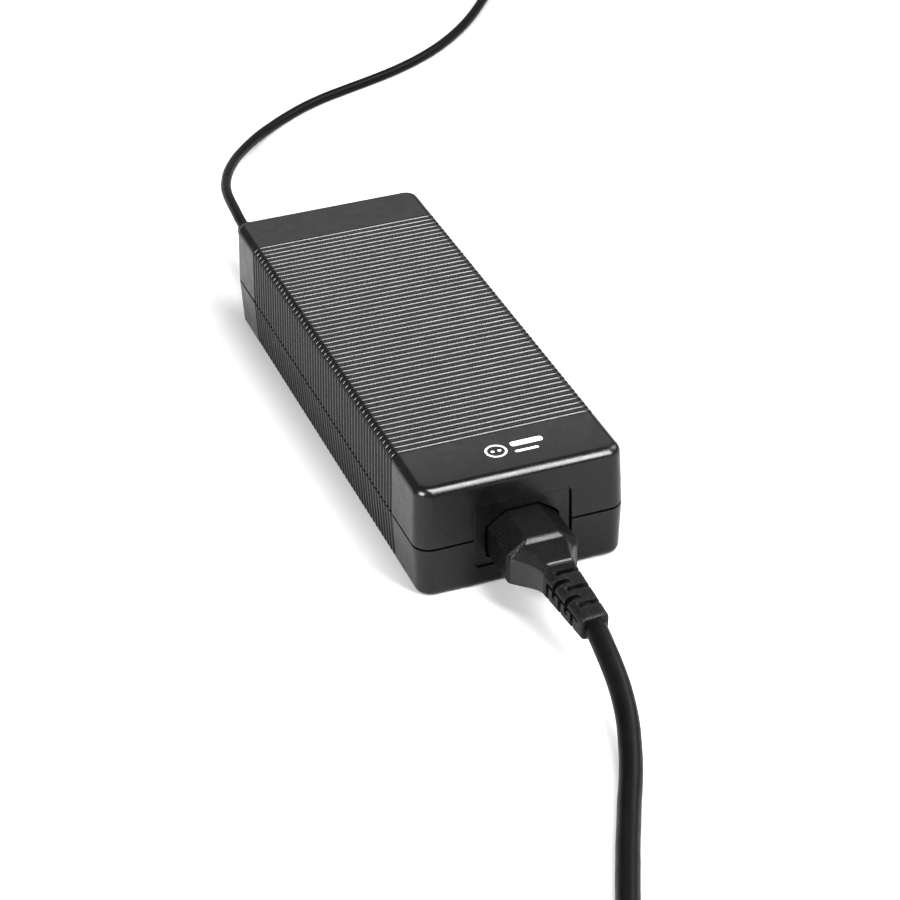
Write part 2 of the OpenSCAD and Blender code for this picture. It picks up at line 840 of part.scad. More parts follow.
// Spring sleeves that grip the inlet's pins
module connector_contacts() {
  w = pin_w + 2 * (contact_wall + contact_play);
  h = pin_h + 2 * (contact_wall + contact_play);
  length = 14.6;
  color(pin_metal) for (p = pin_places) {
    translate([p[0], front_y + nose_depth - 15.6, inlet_z + p[1]]) difference() {
      translate([-w / 2, 0, -h / 2]) cube([w, length, h]);
      translate([-w / 2 + contact_wall, 0.6, -h / 2 + contact_wall]) {
        cube([w - 2 * contact_wall, length, h - 2 * contact_wall]);
      }
    }
  }
}

// Square sleeve that gets smaller in steps, leaning to where the cord leaves it, with slots
// cut into opposite corners in turn so that it bends
module connector_strain_relief() {
  run = boot_tip - boot_start;
  length = norm(run);
  lean = atan2(run[0], -run[1]);
  drop = asin(-run[2] / length);
  steps = 4;
  step_l = length / steps;
  slot_w = 1.6;
  slot_pitch = 7.5;
  color(cord_black) translate(boot_start) rotate([90 + drop, 0, lean]) {
    cylinder(h = length, d = boot_core_d);
    difference() {
      for (k = [0 : steps - 1]) translate([0, 0, k * step_l]) {
        linear_extrude(step_l) round_rect(10.8 - 0.4 * k, 10.4 - 0.6 * k, 2.4);
      }
      for (turn = [0, 180]) rotate([0, 0, turn]) {
        for (k = [0 : 2]) translate([-8, -1.4, 1.8 + k * slot_pitch]) cube([10.2, 9.4, slot_w]);
        for (k = [0 : 1]) translate([0.7, -0.5, 5.6 + k * slot_pitch]) cube([7.3, 8.5, slot_w]);
      }
    }
  }
}

module mains_cord() {
  color(cord_black) {
    tube(mains_route, mains_d, 10);
    tube(mains_tail, mains_d, 10);
  }
}

module mains_cord_coil() {
  color(cord_black) coil(mains_coil_at, mains_coil_d, mains_d, mains_wide, mains_high);
}

module mains_cord_tie() {
  color([0.2, 0.2, 0.2]) tie(mains_coil_at, mains_coil_d, mains_d, mains_wide, mains_high, 20, 12);
}

// Turns the wall plug's parts so that +Z of the drawing points along +X of the table
module on_wall_plug() {
  translate(plug_at) rotate([0, 90, 0]) rotate([0, 0, 90]) children();
}

module wall_plug_body() {
  color(cord_black) on_wall_plug() {
    difference() {
      linear_extrude(plug_body_l) round_rect(plug_w, plug_h, 5);
      for (x = [-1, 1]) translate([x * (plug_w / 2 + 5.4), 0, 11]) rotate([90, 0, 0]) {
        cylinder(h = 40, d = 14, center = true);
      }
    }
    translate([0, 0, -plug_boot_l]) rotate_extrude() {
      polygon([[0, 0], [4.4, 0], [6.4, plug_boot_l], [0, plug_boot_l]]);
      for (k = [0 : 4]) translate([0, 2 + k * 4.4]) square([5.2 + 0.4 * k, 2.4]);
    }
  }
}

module wall_plug_blades() {
  color(pin_metal) on_wall_plug() for (x = [-1, 1]) {
    translate([x * blade_gap / 2, -4, plug_body_l]) blade();
  }
}

// Flat blade with a bevelled tip and a locking hole
module blade() {
  bevel = 1.2;
  rotate([90, 0, 90]) linear_extrude(blade_t, center = true) difference() {
    polygon([
      [-blade_w / 2, 0], [blade_w / 2, 0], [blade_w / 2, blade_l - bevel],
      [blade_w / 2 - bevel, blade_l], [-blade_w / 2 + bevel, blade_l], [-blade_w / 2, blade_l - bevel]
    ]);
    translate([0, blade_l - 5]) circle(d = 3);
  }
}

module wall_plug_earth_pin() {
  color(pin_metal) on_wall_plug() translate([0, earth_drop - 4, plug_body_l]) rotate_extrude() {
    square([earth_d / 2, earth_l - earth_d / 2]);
    translate([0, earth_l - earth_d / 2]) intersection() {
      circle(d = earth_d);
      square(earth_d);
    }
  }
}

upper_shell();
lower_shell();
rating_label();
inlet_housing();
inlet_line_pin();
inlet_neutral_pin();
inlet_earth_pin();
inlet_wires();
circuit_board();
fuse();
x_capacitor();
common_mode_choke();
y_capacitors();
inrush_thermistor();
bridge_rectifier();
boost_choke();
bulk_capacitor();
primary_heatsink();
switching_transistors();
transformer_core();
transformer_winding();
optocoupler();
control_chip();
output_rectifier();
secondary_heatsink();
heatsink_screws();
output_choke();
output_capacitors();
insulating_sheet();
output_wires();
dc_strain_relief();
dc_cord();
dc_cord_coil();
dc_cord_tie();
dc_plug_handle();
dc_plug_barrel();
dc_plug_insulator();
dc_plug_centre_contact();
connector_body();
connector_contacts();
connector_strain_relief();
mains_cord();
mains_cord_coil();
mains_cord_tie();
wall_plug_body();
wall_plug_blades();
wall_plug_earth_pin();
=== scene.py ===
"""A laptop power adapter with its two leads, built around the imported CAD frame.

Lengths are in millimetres until mm() or MM turns them into Blender's metres. +Z is up, the case
lies along Y, and its inlet end faces -Y.
"""

import json
import math

import bmesh
import bpy
from mathutils import Matrix, Vector


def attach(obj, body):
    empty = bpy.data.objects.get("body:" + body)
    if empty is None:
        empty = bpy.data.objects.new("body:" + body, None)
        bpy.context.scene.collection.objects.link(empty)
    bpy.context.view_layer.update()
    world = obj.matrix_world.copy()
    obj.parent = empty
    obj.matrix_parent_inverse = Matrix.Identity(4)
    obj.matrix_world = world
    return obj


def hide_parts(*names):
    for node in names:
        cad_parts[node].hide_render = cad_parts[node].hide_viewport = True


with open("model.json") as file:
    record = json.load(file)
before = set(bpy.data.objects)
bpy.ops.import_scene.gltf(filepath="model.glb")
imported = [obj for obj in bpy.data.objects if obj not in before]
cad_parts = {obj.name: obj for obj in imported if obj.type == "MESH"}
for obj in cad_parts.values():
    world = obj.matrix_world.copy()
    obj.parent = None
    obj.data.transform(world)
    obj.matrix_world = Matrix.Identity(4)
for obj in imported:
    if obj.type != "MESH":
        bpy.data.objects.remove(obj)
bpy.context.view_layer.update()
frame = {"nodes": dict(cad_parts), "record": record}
nodes = frame["nodes"]

MM = 0.001


def mm(*values):
    """A point in millimetres as a vector in metres."""
    return Vector(values) * MM


def add_object(name, data):
    """A new object in the scene, made from its mesh, curve, light or camera."""
    made = bpy.data.objects.new(name, data)
    bpy.context.collection.objects.link(made)
    return made


def ease(value, start, end):
    """Smooth step from 0 to 1 as value goes from start to end."""
    t = min(max((value - start) / (end - start), 0), 1)
    return t * t * (3 - 2 * t)


# -------- camera
CAMERA_PLACE = (-0.252727, -0.726813, 0.485683)
CAMERA_AZIMUTH = -19.976
CAMERA_ELEVATION = 32.818
CAMERA_ROLL = -1.451
CAMERA_LENS = 104.36


def add_camera():
    """A long lens, raised about 33 degrees, looking at the inlet end from its left."""
    azimuth = math.radians(CAMERA_AZIMUTH)
    elevation = math.radians(CAMERA_ELEVATION)
    roll = math.radians(CAMERA_ROLL)
    back = Vector((
        math.sin(azimuth) * math.cos(elevation),
        -math.cos(azimuth) * math.cos(elevation),
        math.sin(elevation),
    ))
    right = Vector((0, 0, 1)).cross(back).normalized()
    up = back.cross(right)
    turned_right = right * math.cos(roll) + up * math.sin(roll)
    turned_up = up * math.cos(roll) - right * math.sin(roll)
    camera = add_object("camera", bpy.data.cameras.new("camera"))
    axes = Matrix((turned_right, turned_up, back)).transposed()
    camera.matrix_world = Matrix.Translation(CAMERA_PLACE) @ axes.to_4x4()
    camera.data.sensor_width = 36
    camera.data.lens = CAMERA_LENS
    camera.data.clip_start = 0.01
    camera.data.clip_end = 20
    bpy.context.scene.camera = camera


add_camera()


# -------- finishes
class Finish:
    """Node tree of one finish, with short names for the nodes that the finishes share."""

    def __init__(self, name, colour, roughness, metallic=0.0):
        self.material = bpy.data.materials.new(name)
        self.material.use_nodes = True
        self.material.diffuse_color = (*colour, 1)
        self.tree = self.material.node_tree
        self.shader = self.tree.nodes["Principled BSDF"]
        self.shader.inputs["Base Color"].default_value = (*colour, 1)
        self.shader.inputs["Roughness"].default_value = roughness
        self.shader.inputs["Metallic"].default_value = metallic
        self.colour = colour
        self.roughness = roughness
        self.place = self.tree.nodes.new("ShaderNodeTexCoord").outputs["Object"]
        self.height = None

    def feed(self, socket, value):
        """Links an output to a socket, or sets the socket to a constant."""
        if isinstance(value, bpy.types.NodeSocket):
            self.tree.links.new(value, socket)
        elif socket.type == "RGBA":
            socket.default_value = (*value, 1)
        else:
            socket.default_value = value

    def node(self, kind, settings=None, **sockets):
        """A new shader node with its settings and the values of its named sockets."""
        made = self.tree.nodes.new("ShaderNode" + kind)
        for key, value in (settings or {}).items():
            setattr(made, key, value)
        for key, value in sockets.items():
            self.feed(made.inputs[key], value)
        return made

    def stretched(self, scale):
        """Object coordinates scaled by a vector."""
        return self.node("Mapping", Vector=self.place, Scale=scale).outputs["Vector"]

    def noise(self, scale, detail=2.0, vector=None, rough=0.5):
        made = self.node(
            "TexNoise", Vector=vector or self.place, Scale=scale, Detail=detail, Roughness=rough,
        )
        return made.outputs["Fac"]

    def spread(self, value, low, high, from_low=0.3, from_high=0.7):
        """Maps a grey value to a range."""
        made = self.node("MapRange", **{
            "Value": value, "From Min": from_low, "From Max": from_high,
            "To Min": low, "To Max": high,
        })
        return made.outputs["Result"]

    def math(self, operation, a, b=0.0):
        made = self.node("Math", {"operation": operation})
        for socket, value in zip(made.inputs, (a, b)):
            self.feed(socket, value)
        return made.outputs["Value"]

    def blend(self, factor, a, b):
        """Mixes two colours, each a socket or an (r, g, b) triple."""
        made = self.node("Mix", {"data_type": "RGBA"})
        # The node's sockets for colours share their names with those for numbers and vectors
        for place, value in ((0, factor), (6, a), (7, b)):
            self.feed(made.inputs[place], value)
        return made.outputs[2]

    def tint(self, amount, scale, detail=3.0):
        """Uneven colour: patches lighter and darker by the given part of the colour."""
        patch = self.spread(self.noise(scale, detail), 0, 1)
        dark = tuple(c * (1 - amount) for c in self.colour)
        light = tuple(c * (1 + amount) for c in self.colour)
        return self.blend(patch, dark, light)

    def worn_edges(self, colour, light, strength):
        """Lightens the ridges of the mesh, as handling does."""
        ridge = self.node("NewGeometry").outputs["Pointiness"]
        ridge = self.spread(ridge, 0, strength, 0.51, 0.60)
        patchy = self.math("MULTIPLY", ridge, self.spread(self.noise(220, 4), 0.2, 1))
        return self.blend(patchy, colour, light)

    def paint(self, colour):
        self.feed(self.shader.inputs["Base Color"], colour)

    def vary_roughness(self, amount, scale, detail=3.0):
        value = self.noise(scale, detail)
        value = self.spread(value, self.roughness - amount, self.roughness + amount)
        self.feed(self.shader.inputs["Roughness"], value)

    def bump(self, value, distance, strength=1.0):
        """Adds a layer of relief; distance is in metres."""
        made = self.node("Bump", Height=value, Distance=distance, Strength=strength)
        if self.height:
            self.feed(made.inputs["Normal"], self.height)
        self.height = made.outputs["Normal"]
        self.feed(self.shader.inputs["Normal"], self.height)


def moulded(name, colour, roughness, grain, grain_depth, wear=0.25, light=(0.12, 0.12, 0.12)):
    """Moulded plastic: a fine spark-eroded grain, faint flow marks and slightly worn edges."""
    finish = Finish(name, colour, roughness)
    finish.paint(finish.worn_edges(finish.tint(0.18, 60), light, wear))
    finish.vary_roughness(0.05, 240, 5)
    finish.bump(finish.noise(grain, 3, rough=0.6), grain_depth)
    finish.bump(finish.noise(38, 2), 0.00004, 0.5)
    return finish


def case_plastic():
    finish = moulded("case_plastic", (0.005, 0.005, 0.0052), 0.25, 2600, 0.00001, 0.06)
    rubs = finish.noise(9, 6, finish.stretched((60, 9, 20)), 0.7)
    finish.bump(finish.spread(rubs, 0, 1, 0.55, 0.62), 0.000004, 0.6)
    return finish


def metal(name, colour, roughness, brushed):
    """Metal with drawn or rolled streaks along one axis and dull patches."""
    finish = Finish(name, colour, roughness, metallic=1.0)
    finish.paint(finish.tint(0.08, 300))
    streaks = finish.noise(1, 4, finish.stretched(brushed), 0.6)
    value = finish.spread(streaks, roughness - 0.08, roughness + 0.12)
    finish.feed(finish.shader.inputs["Roughness"], value)
    finish.bump(streaks, 0.00001)
    return finish


def striped(name, colour, roughness, axis, pitch, depth, metallic=0.0):
    """Wound wire or wrapped tape: even ridges one pitch apart along an axis."""
    finish = Finish(name, colour, roughness, metallic)
    finish.paint(finish.tint(0.2, 150))
    finish.vary_roughness(0.08, 200)
    wave = finish.node(
        "TexWave", {"bands_direction": axis, "wave_profile": "SIN"},
        Vector=finish.place, Scale=0.314 / pitch, Distortion=0.4, Detail=1.0,
    )
    finish.bump(wave.outputs["Fac"], depth)
    return finish


def banded(name, bands):
    """Wires of one node told apart by colour: bands are (left edge in metres, colour)."""
    finish = Finish(name, bands[0][1], 0.35)
    x = finish.node("SeparateXYZ", Vector=finish.place).outputs["X"]
    colour = finish.tint(0.1, 200)
    for edge, shade in bands[1:]:
        colour = finish.blend(finish.math("GREATER_THAN", x, edge), colour, shade)
    patch = finish.spread(finish.noise(300, 3), 0, 0.25)
    finish.paint(finish.blend(patch, colour, (0.05, 0.05, 0.05)))
    finish.vary_roughness(0.08, 300)
    finish.bump(finish.noise(900, 2), 0.00002)
    return finish


def circuit_laminate():
    """Solder mask over copper tracks, with a fine woven glass base."""
    finish = Finish("board_laminate", (0.012, 0.10, 0.045), 0.3)
    cells = finish.node(
        "TexVoronoi", {"distance": "CHEBYCHEV", "feature": "F2"}, Vector=finish.place, Scale=140,
    )
    tracks = finish.spread(cells.outputs["Distance"], 0, 1, 0.62, 0.66)
    finish.paint(finish.blend(tracks, finish.tint(0.15, 200), (0.03, 0.2, 0.08)))
    finish.vary_roughness(0.06, 300)
    finish.bump(tracks, 0.00004)
    finish.bump(finish.noise(3000, 1), 0.00001)
    return finish


def hook_and_loop():
    """Fuzzy loop fabric."""
    finish = Finish("tie_strap", (0.025, 0.025, 0.026), 0.85)
    finish.paint(finish.tint(0.4, 900))
    finish.shader.inputs["Sheen Weight"].default_value = 0.4
    finish.shader.inputs["Sheen Roughness"].default_value = 0.4
    loops = finish.node("TexVoronoi", Vector=finish.place, Scale=1800)
    finish.bump(loops.outputs["Distance"], 0.0002)
    finish.bump(finish.noise(700, 4), 0.0001)
    return finish


LABEL_FRAME_X = 0.0236
LABEL_FRAME_Y = 0.0456
LABEL_LINE = 0.0004
LABEL_RULE_X = 0.0205
LABEL_RULE_PITCH = 0.008


def label_film():
    """Silver film with a printed frame and blank ruled fields."""
    finish = Finish("label_film", (0.55, 0.55, 0.56), 0.42, metallic=0.35)
    parts = finish.node("SeparateXYZ", Vector=finish.place)
    across = finish.math("ABSOLUTE", parts.outputs["X"])
    along = finish.math("ABSOLUTE", parts.outputs["Y"])

    def past(distance, edge):
        """0 on the near side of an edge and 1 past it."""
        return finish.spread(distance, 0, 1, edge, edge + 0.0002)

    def past_frame(border):
        reach_x = past(across, LABEL_FRAME_X + border)
        return finish.math("MAXIMUM", reach_x, past(along, LABEL_FRAME_Y + border))

    line = finish.math("SUBTRACT", past_frame(0), past_frame(LABEL_LINE))
    rows = finish.math("PINGPONG", parts.outputs["Y"], LABEL_RULE_PITCH)
    rule = finish.spread(rows, 1, 0, 0.0001, 0.00025)
    inside = finish.math("SUBTRACT", 1.0, past(across, LABEL_RULE_X))
    printed = finish.math("MAXIMUM", line, finish.math("MULTIPLY", rule, inside))
    finish.paint(finish.blend(printed, finish.tint(0.06, 90), (0.06, 0.06, 0.065)))
    finish.vary_roughness(0.07, 200)
    finish.bump(finish.noise(1500, 2), 0.00001)
    return finish


FINISHES = {
    "case_plastic": case_plastic(),
    "label_film": label_film(),
    "inlet_plastic": moulded("inlet_plastic", (0.005, 0.005, 0.005), 0.3, 3000, 0.00001, 0.06),
    "plated_brass": metal("plated_brass", (0.62, 0.58, 0.48), 0.25, (900, 90, 900)),
    "board_laminate": circuit_laminate(),
    "component_moulding": moulded("component_moulding", (0.02, 0.02, 0.021), 0.45, 2400, 0.00003),
    "film_capacitor": moulded(
        "film_capacitor", (0.62, 0.42, 0.05), 0.3, 1500, 0.00002, 0.5, (0.8, 0.65, 0.25),
    ),
    "ceramic_coating": moulded(
        "ceramic_coating", (0.04, 0.12, 0.38), 0.3, 900, 0.0001, 0.3, (0.2, 0.3, 0.6),
    ),
    "thermistor_coating": moulded(
        "thermistor_coating", (0.03, 0.12, 0.06), 0.35, 900, 0.0001, 0.3, (0.2, 0.35, 0.25),
    ),
    "fuse_moulding": moulded(
        "fuse_moulding", (0.13, 0.05, 0.02), 0.35, 1800, 0.00003, 0.3, (0.3, 0.16, 0.1),
    ),
    "ferrite": moulded("ferrite", (0.035, 0.035, 0.04), 0.6, 1400, 0.00008, 0.6, (0.2, 0.2, 0.21)),
    "copper_winding": striped("copper_winding", (0.62, 0.2, 0.07), 0.25, "Z", 0.0009, 0.0003, 0.9),
    "capacitor_sleeve": moulded(
        "capacitor_sleeve", (0.015, 0.02, 0.1), 0.2, 1200, 0.00001, 0.5, (0.3, 0.3, 0.35),
    ),
    "heatsink_aluminium": metal("heatsink_aluminium", (0.6, 0.61, 0.62), 0.35, (900, 25, 900)),
    "screw_steel": metal("screw_steel", (0.5, 0.5, 0.51), 0.3, (600, 600, 600)),
    "winding_tape": striped("winding_tape", (0.7, 0.5, 0.04), 0.3, "Z", 0.004, 0.00015),
    "insulating_card": moulded(
        "insulating_card", (0.5, 0.42, 0.2), 0.6, 800, 0.00004, 0.2, (0.7, 0.62, 0.4),
    ),
    "cord_sheath": moulded("cord_sheath", (0.003, 0.003, 0.0027), 0.4, 1600, 0.00003, 0.06),
    "moulded_pvc": moulded("moulded_pvc", (0.005, 0.005, 0.005), 0.42, 1000, 0.0003, 0.12),
    "tie_strap": hook_and_loop(),
    "plug_insulator": moulded(
        "plug_insulator", (0.6, 0.42, 0.06), 0.35, 1500, 0.00003, 0.3, (0.8, 0.7, 0.4),
    ),
}
for rubbery, gloss in (("moulded_pvc", 0.3), ("cord_sheath", 0.2)):
    FINISHES[rubbery].shader.inputs["Specular IOR Level"].default_value = gloss
SMOOTH_PVC = moulded("smooth_pvc", (0.012, 0.012, 0.012), 0.4, 1600, 0.00003, 0.1)
WHITE_INK = moulded("white_ink", (0.75, 0.75, 0.75), 0.5, 1500, 0.000005, 0.1, (0.8, 0.8, 0.8))
WIRE_FINISHES = {
    "inlet_wires": banded("mains_wire_insulation", (
        (-1, (0.12, 0.05, 0.02)), (-0.0035, (0.12, 0.35, 0.03)), (0.0035, (0.02, 0.07, 0.35)),
    )),
    "output_wires": banded("low_voltage_wire_insulation", (
        (-1, (0.4, 0.02, 0.015)), (-0.022, (0.012, 0.012, 0.012)),
    )),
}


# -------- cords
MAINS_D = 7.0
DC_D = 4.0
MAINS_COIL = (-15.5, -331.75)
DC_COIL = (152.5, 380)
TURN_POINTS = 16

MAINS_ROUTE = [
    (1.6, -151, 16), (0.9, -158, 15), (0.2, -166, 13.3), (-0.6, -173, 11.5), (-1.9, -180, 9.7),
    (-3.7, -187, 7.9), (-6.2, -194, 6.3), (-9, -201, 5.1), (-12.2, -208, 4.2), (-15.7, -215, 3.7),
    (-19.2, -222.5, 3.5), (-22.8, -230, 3.5), (-26.4, -238, 3.5), (-30, -246, 3.5),
    (-33.5, -254, 3.5), (-37, -262, 3.5), (-42.5, -275, 3.5), (-48, -288, 3.5),
    (-53.5, -300.5, 3.5), (-58.8, -313, 3.5),
]
MAINS_TAIL = [
    (-15.5, -379, 10.5), (-8, -379, 10.1), (0, -379, 9.9), (8, -379, 10.2),
    (16, -379, 11), (24, -379, 11.5),
]
DC_ROUTE = [
    (-22, 131, 18.2), (-21.5, 140, 17.9), (-20.6, 149, 17.1), (-19.6, 158, 16), (-18.3, 167, 14.7),
    (-16.4, 176, 13.2), (-13.7, 185, 11.7), (-10.4, 194, 10.1), (-6.4, 203, 8.4),
    (-1.8, 212, 6.7), (3.5, 220.5, 5.2), (9.5, 229, 3.9), (16, 237, 2.8), (24, 244.5, 2.2),
    (33, 251.5, 2), (42.5, 257.5, 2), (52.5, 262.5, 2), (63, 266.5, 2), (73.5, 270.3, 2),
    (84, 274.3, 2), (94.5, 279, 2), (104.5, 284.5, 2), (114, 290.8, 2), (123, 298, 2),
    (131.5, 306, 2), (139.5, 314.6, 2), (147, 323.8, 2), (154, 333.2, 2), (161, 342.5, 2),
    (168.1, 351.7, 2), (175.5, 360.7, 2),
]
DC_TAIL = [
    (152.5, 410, 6), (146.5, 410, 5.7), (140.5, 410, 5.3), (134.5, 410, 5.1), (128.5, 410, 5),
]


def coil_points(centre, cord_d, outer, inner, start, turns, climb):
    """Points of a two-layer coil: inwards on the table, up one layer, and outwards again.

    It starts at an angle in degrees and winds anticlockwise, seen from above. Each layer has
    the same number of turns, and climb is the part of a turn between them.
    """
    points = []
    low, high = cord_d / 2, cord_d * 1.5
    total = turns + climb + turns
    count = round(total * TURN_POINTS)
    for k in range(1, count):
        turn = total * k / count
        if turn < turns:
            radius = outer + (inner - outer) * turn / turns
            z = low
        elif turn < turns + climb:
            radius = inner
            z = low + (high - low) * ease(turn, turns, turns + climb)
        else:
            radius = inner + (outer - inner) * (turn - turns - climb) / turns
            z = high
        angle = math.radians(start + 360 * turn)
        points.append((
            centre[0] + radius * math.cos(angle),
            centre[1] + radius * math.sin(angle),
            z,
        ))
    return points


def smooth_line(name, points, diameter):
    """A round cord whose centreline passes through points, given in millimetres."""
    curve = bpy.data.curves.new(name, "CURVE")
    curve.dimensions = "3D"
    curve.bevel_depth = diameter / 2 * MM
    curve.bevel_resolution = 5
    curve.resolution_u = 5
    curve.use_fill_caps = True
    curve.materials.append(FINISHES["cord_sheath"].material)
    spline = curve.splines.new("BEZIER")
    spline.bezier_points.add(len(points) - 1)
    for bezier, point in zip(spline.bezier_points, points):
        bezier.co = Vector(point) * MM
        bezier.handle_left_type = "AUTO"
        bezier.handle_right_type = "AUTO"
    return add_object(name, curve)


mains_coil = coil_points(
    MAINS_COIL, MAINS_D, outer=47.25, inner=29.75, start=156.5, turns=2.5, climb=0.315,
)
mains_cord = smooth_line("mains_cord_line", MAINS_ROUTE + mains_coil + MAINS_TAIL, MAINS_D)
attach(mains_cord, "mains_lead")
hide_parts("mains_cord", "mains_cord_coil")

dc_coil = coil_points(DC_COIL, DC_D, outer=30, inner=14, start=-40, turns=4, climb=0.361)
dc_cord = smooth_line("dc_cord_line", DC_ROUTE + dc_coil + DC_TAIL, DC_D)
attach(dc_cord, "adapter")
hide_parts("dc_cord", "dc_cord_coil")


# -------- mesh helpers
SHARP_DEGREES = 35


def dress(piece, finish):
    """Gives a piece one finish all over."""
    if not piece.data.materials:
        piece.data.materials.append(finish.material)
    for held in piece.material_slots:
        held.material = finish.material


def add_piece(name, mesh, body, replaced, sharp=SHARP_DEGREES):
    """Finishes a bmesh as a smooth-shaded piece that rides on a body and stands for CAD nodes.

    An edge that turns by more than sharp degrees stays sharp.
    """
    bmesh.ops.remove_doubles(mesh, verts=mesh.verts, dist=1e-7)
    bmesh.ops.recalc_face_normals(mesh, faces=mesh.faces)
    data = bpy.data.meshes.new(name)
    mesh.to_mesh(data)
    mesh.free()
    data.shade_smooth()
    data.set_sharp_from_angle(angle=math.radians(sharp))
    piece = add_object(name, data)
    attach(piece, body)
    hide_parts(*replaced)
    return piece


def loft(rings):
    """A bmesh skinned over closed rings of points, with its ends capped."""
    mesh = bmesh.new()
    join_rings(mesh, rings)
    return mesh


def join_rings(mesh, rings, closed_ends=True):
    """Skins a list of equally long closed rings of points, and may cap the first and last."""
    rows = [[mesh.verts.new(point) for point in ring] for ring in rings]
    for a, b in zip(rows, rows[1:]):
        for k in range(len(a)):
            after = (k + 1) % len(a)
            mesh.faces.new((a[k], a[after], b[after], b[k]))
    if closed_ends:
        mesh.faces.new(list(reversed(rows[0])))
        mesh.faces.new(rows[-1])
    return rows


def round_corners(outline, radii, steps):
    """A closed outline of (x, y) corners with each corner replaced by a short arc."""
    points = []
    count = len(outline)
    for k in range(count):
        corner = Vector(outline[k])
        before = Vector(outline[k - 1]) - corner
        after = Vector(outline[(k + 1) % count]) - corner
        reach = min(radii[k], 0.45 * before.length, 0.45 * after.length)
        start = corner + before.normalized() * reach
        end = corner + after.normalized() * reach
        for step in range(steps + 1):
            t = step / steps
            points.append((1 - t) ** 2 * start + 2 * t * (1 - t) * corner + t * t * end)
    return points


def cut_away(piece, low, high, bevel=0.0):
    """Cuts a box, given by two corners in millimetres, out of a piece."""
    mesh = bmesh.new()
    bmesh.ops.create_cube(mesh, size=1)
    for vert in mesh.verts:
        vert.co = mm(*(low[k] if vert.co[k] < 0 else high[k] for k in range(3)))
    if bevel:
        upright = [e for e in mesh.edges if abs((e.verts[0].co - e.verts[1].co).y) > 1e-6]
        bmesh.ops.bevel(mesh, geom=upright, offset=bevel * MM, segments=4, affect="EDGES")
    cut_with(piece, mesh)


def cut_hole(piece, x, z, y_low, y_high, diameter):
    """Cuts a round hole that runs along Y."""
    mesh = bmesh.new()
    bmesh.ops.create_cone(
        mesh, cap_ends=True, segments=48, radius1=diameter / 2 * MM, radius2=diameter / 2 * MM,
        depth=(y_high - y_low) * MM, matrix=Matrix.Rotation(math.pi / 2, 4, "X"),
    )
    bmesh.ops.translate(mesh, verts=mesh.verts, vec=mm(x, (y_low + y_high) / 2, z))
    cut_with(piece, mesh)


def cut_with(piece, mesh):
    """Applies a boolean difference with a closed bmesh, and leaves nothing of it behind."""
    data = bpy.data.meshes.new("cutter")
    mesh.to_mesh(data)
    mesh.free()
    cutter = add_object("cutter", data)
    cut = piece.modifiers.new("cut", "BOOLEAN")
    cut.operation = "DIFFERENCE"
    cut.solver = "EXACT"
    cut.object = cutter
    depsgraph = bpy.context.evaluated_depsgraph_get()
    result = bpy.data.meshes.new_from_object(piece.evaluated_get(depsgraph))
    piece.modifiers.remove(cut)
    piece.data = result
    bpy.data.objects.remove(cutter)


def keep_flats_flat(piece):
    """Weights the shading towards the large faces, so that only the round edges look round."""
    weighted = piece.modifiers.new("flat_faces", "WEIGHTED_NORMAL")
    weighted.keep_sharp = True


# -------- case shells
CASE_W = 69.6
CASE_L = 194.0
CASE_H = 40.0
DRAFT = 0.8
WALL = 2.4
SEAM_Z = 18.2
SEAM_GAP = 0.6
CORNER_R = 5.0
TOP_EDGE_R = 3.0
BOTTOM_EDGE_R = 2.0
FRONT_BAND = 23.0
BACK_BAND = 22.0
GROOVES = 53
GROOVE_W = 1.1
GROOVE_D = 0.5
RIB_FRONT_R = 0.8
RIB_BACK_R = 0.45
RIM_R = 0.25
LIP_T = 1.0
LIP_FIT = 0.1
LIP_H = 2.0
CORNER_X = CASE_W / 2 - CORNER_R
CORNER_Y = CASE_L / 2 - CORNER_R
ARC_STEPS = 8


def groove_stations():
    """Places along Y with the depth of the ribbing there, from 0 on a rib to 1 in a groove.

    A rib is rounder on the side that faces the inlet end than on the other.
    """
    pitch = (CASE_L - FRONT_BAND - BACK_BAND) / GROOVES
    stations = []

    def rounding(edge, direction, radius, steps):
        """An arc from the rib's top down to the groove's depth, ending at the groove's edge."""
        sweep = math.acos(max(1 - GROOVE_D / radius, 0))
        for step in range(steps + 1):
            angle = sweep * step / steps
            place = edge + direction * radius * (math.sin(sweep) - math.sin(angle))
            yield place, radius * (1 - math.cos(angle)) / GROOVE_D

    for k in range(GROOVES):
        centre = -CASE_L / 2 + FRONT_BAND + (k + 0.5) * pitch
        near = centre - GROOVE_W / 2
        far = centre + GROOVE_W / 2
        stations += rounding(near, -1, RIB_BACK_R, 3)
        stations.append((near + 0.02, 1))
        stations += reversed(list(rounding(far, 1, RIB_FRONT_R, 5)))
    return stations


STATIONS = [(-CORNER_Y, 0)] + groove_stations() + [(CORNER_Y, 0)]
COLUMNS = [CORNER_X * k / 6 for k in range(-6, 7)]


def case_ring(spread, z, side_cut=0.0, top_cut=0.0):
    """One level of the case as a closed ring: its corners have the radius CORNER_R + spread.

    The grooves move it in by side_cut and down by top_cut, both in parts of their depth.
    """
    radius = CORNER_R + spread

    def grooved_side(side, stations):
        for y, depth in stations:
            x = CORNER_X + radius - depth * GROOVE_D * side_cut
            yield side * x, y, z - depth * GROOVE_D * top_cut

    ring = [(x, -CORNER_Y - radius, z) for x in COLUMNS[:-1]]
    ring += corner_arc(CORNER_X, -CORNER_Y, radius, -90, z)
    ring += grooved_side(1, STATIONS[1:-1])
    ring += corner_arc(CORNER_X, CORNER_Y, radius, 0, z)
    ring += [(x, CORNER_Y + radius, z) for x in reversed(COLUMNS[1:-1])]
    ring += corner_arc(-CORNER_X, CORNER_Y, radius, 90, z)
    ring += grooved_side(-1, reversed(STATIONS[1:-1]))
    ring += corner_arc(-CORNER_X, -CORNER_Y, radius, 180, z)[:-1]
    return [mm(*point) for point in ring]


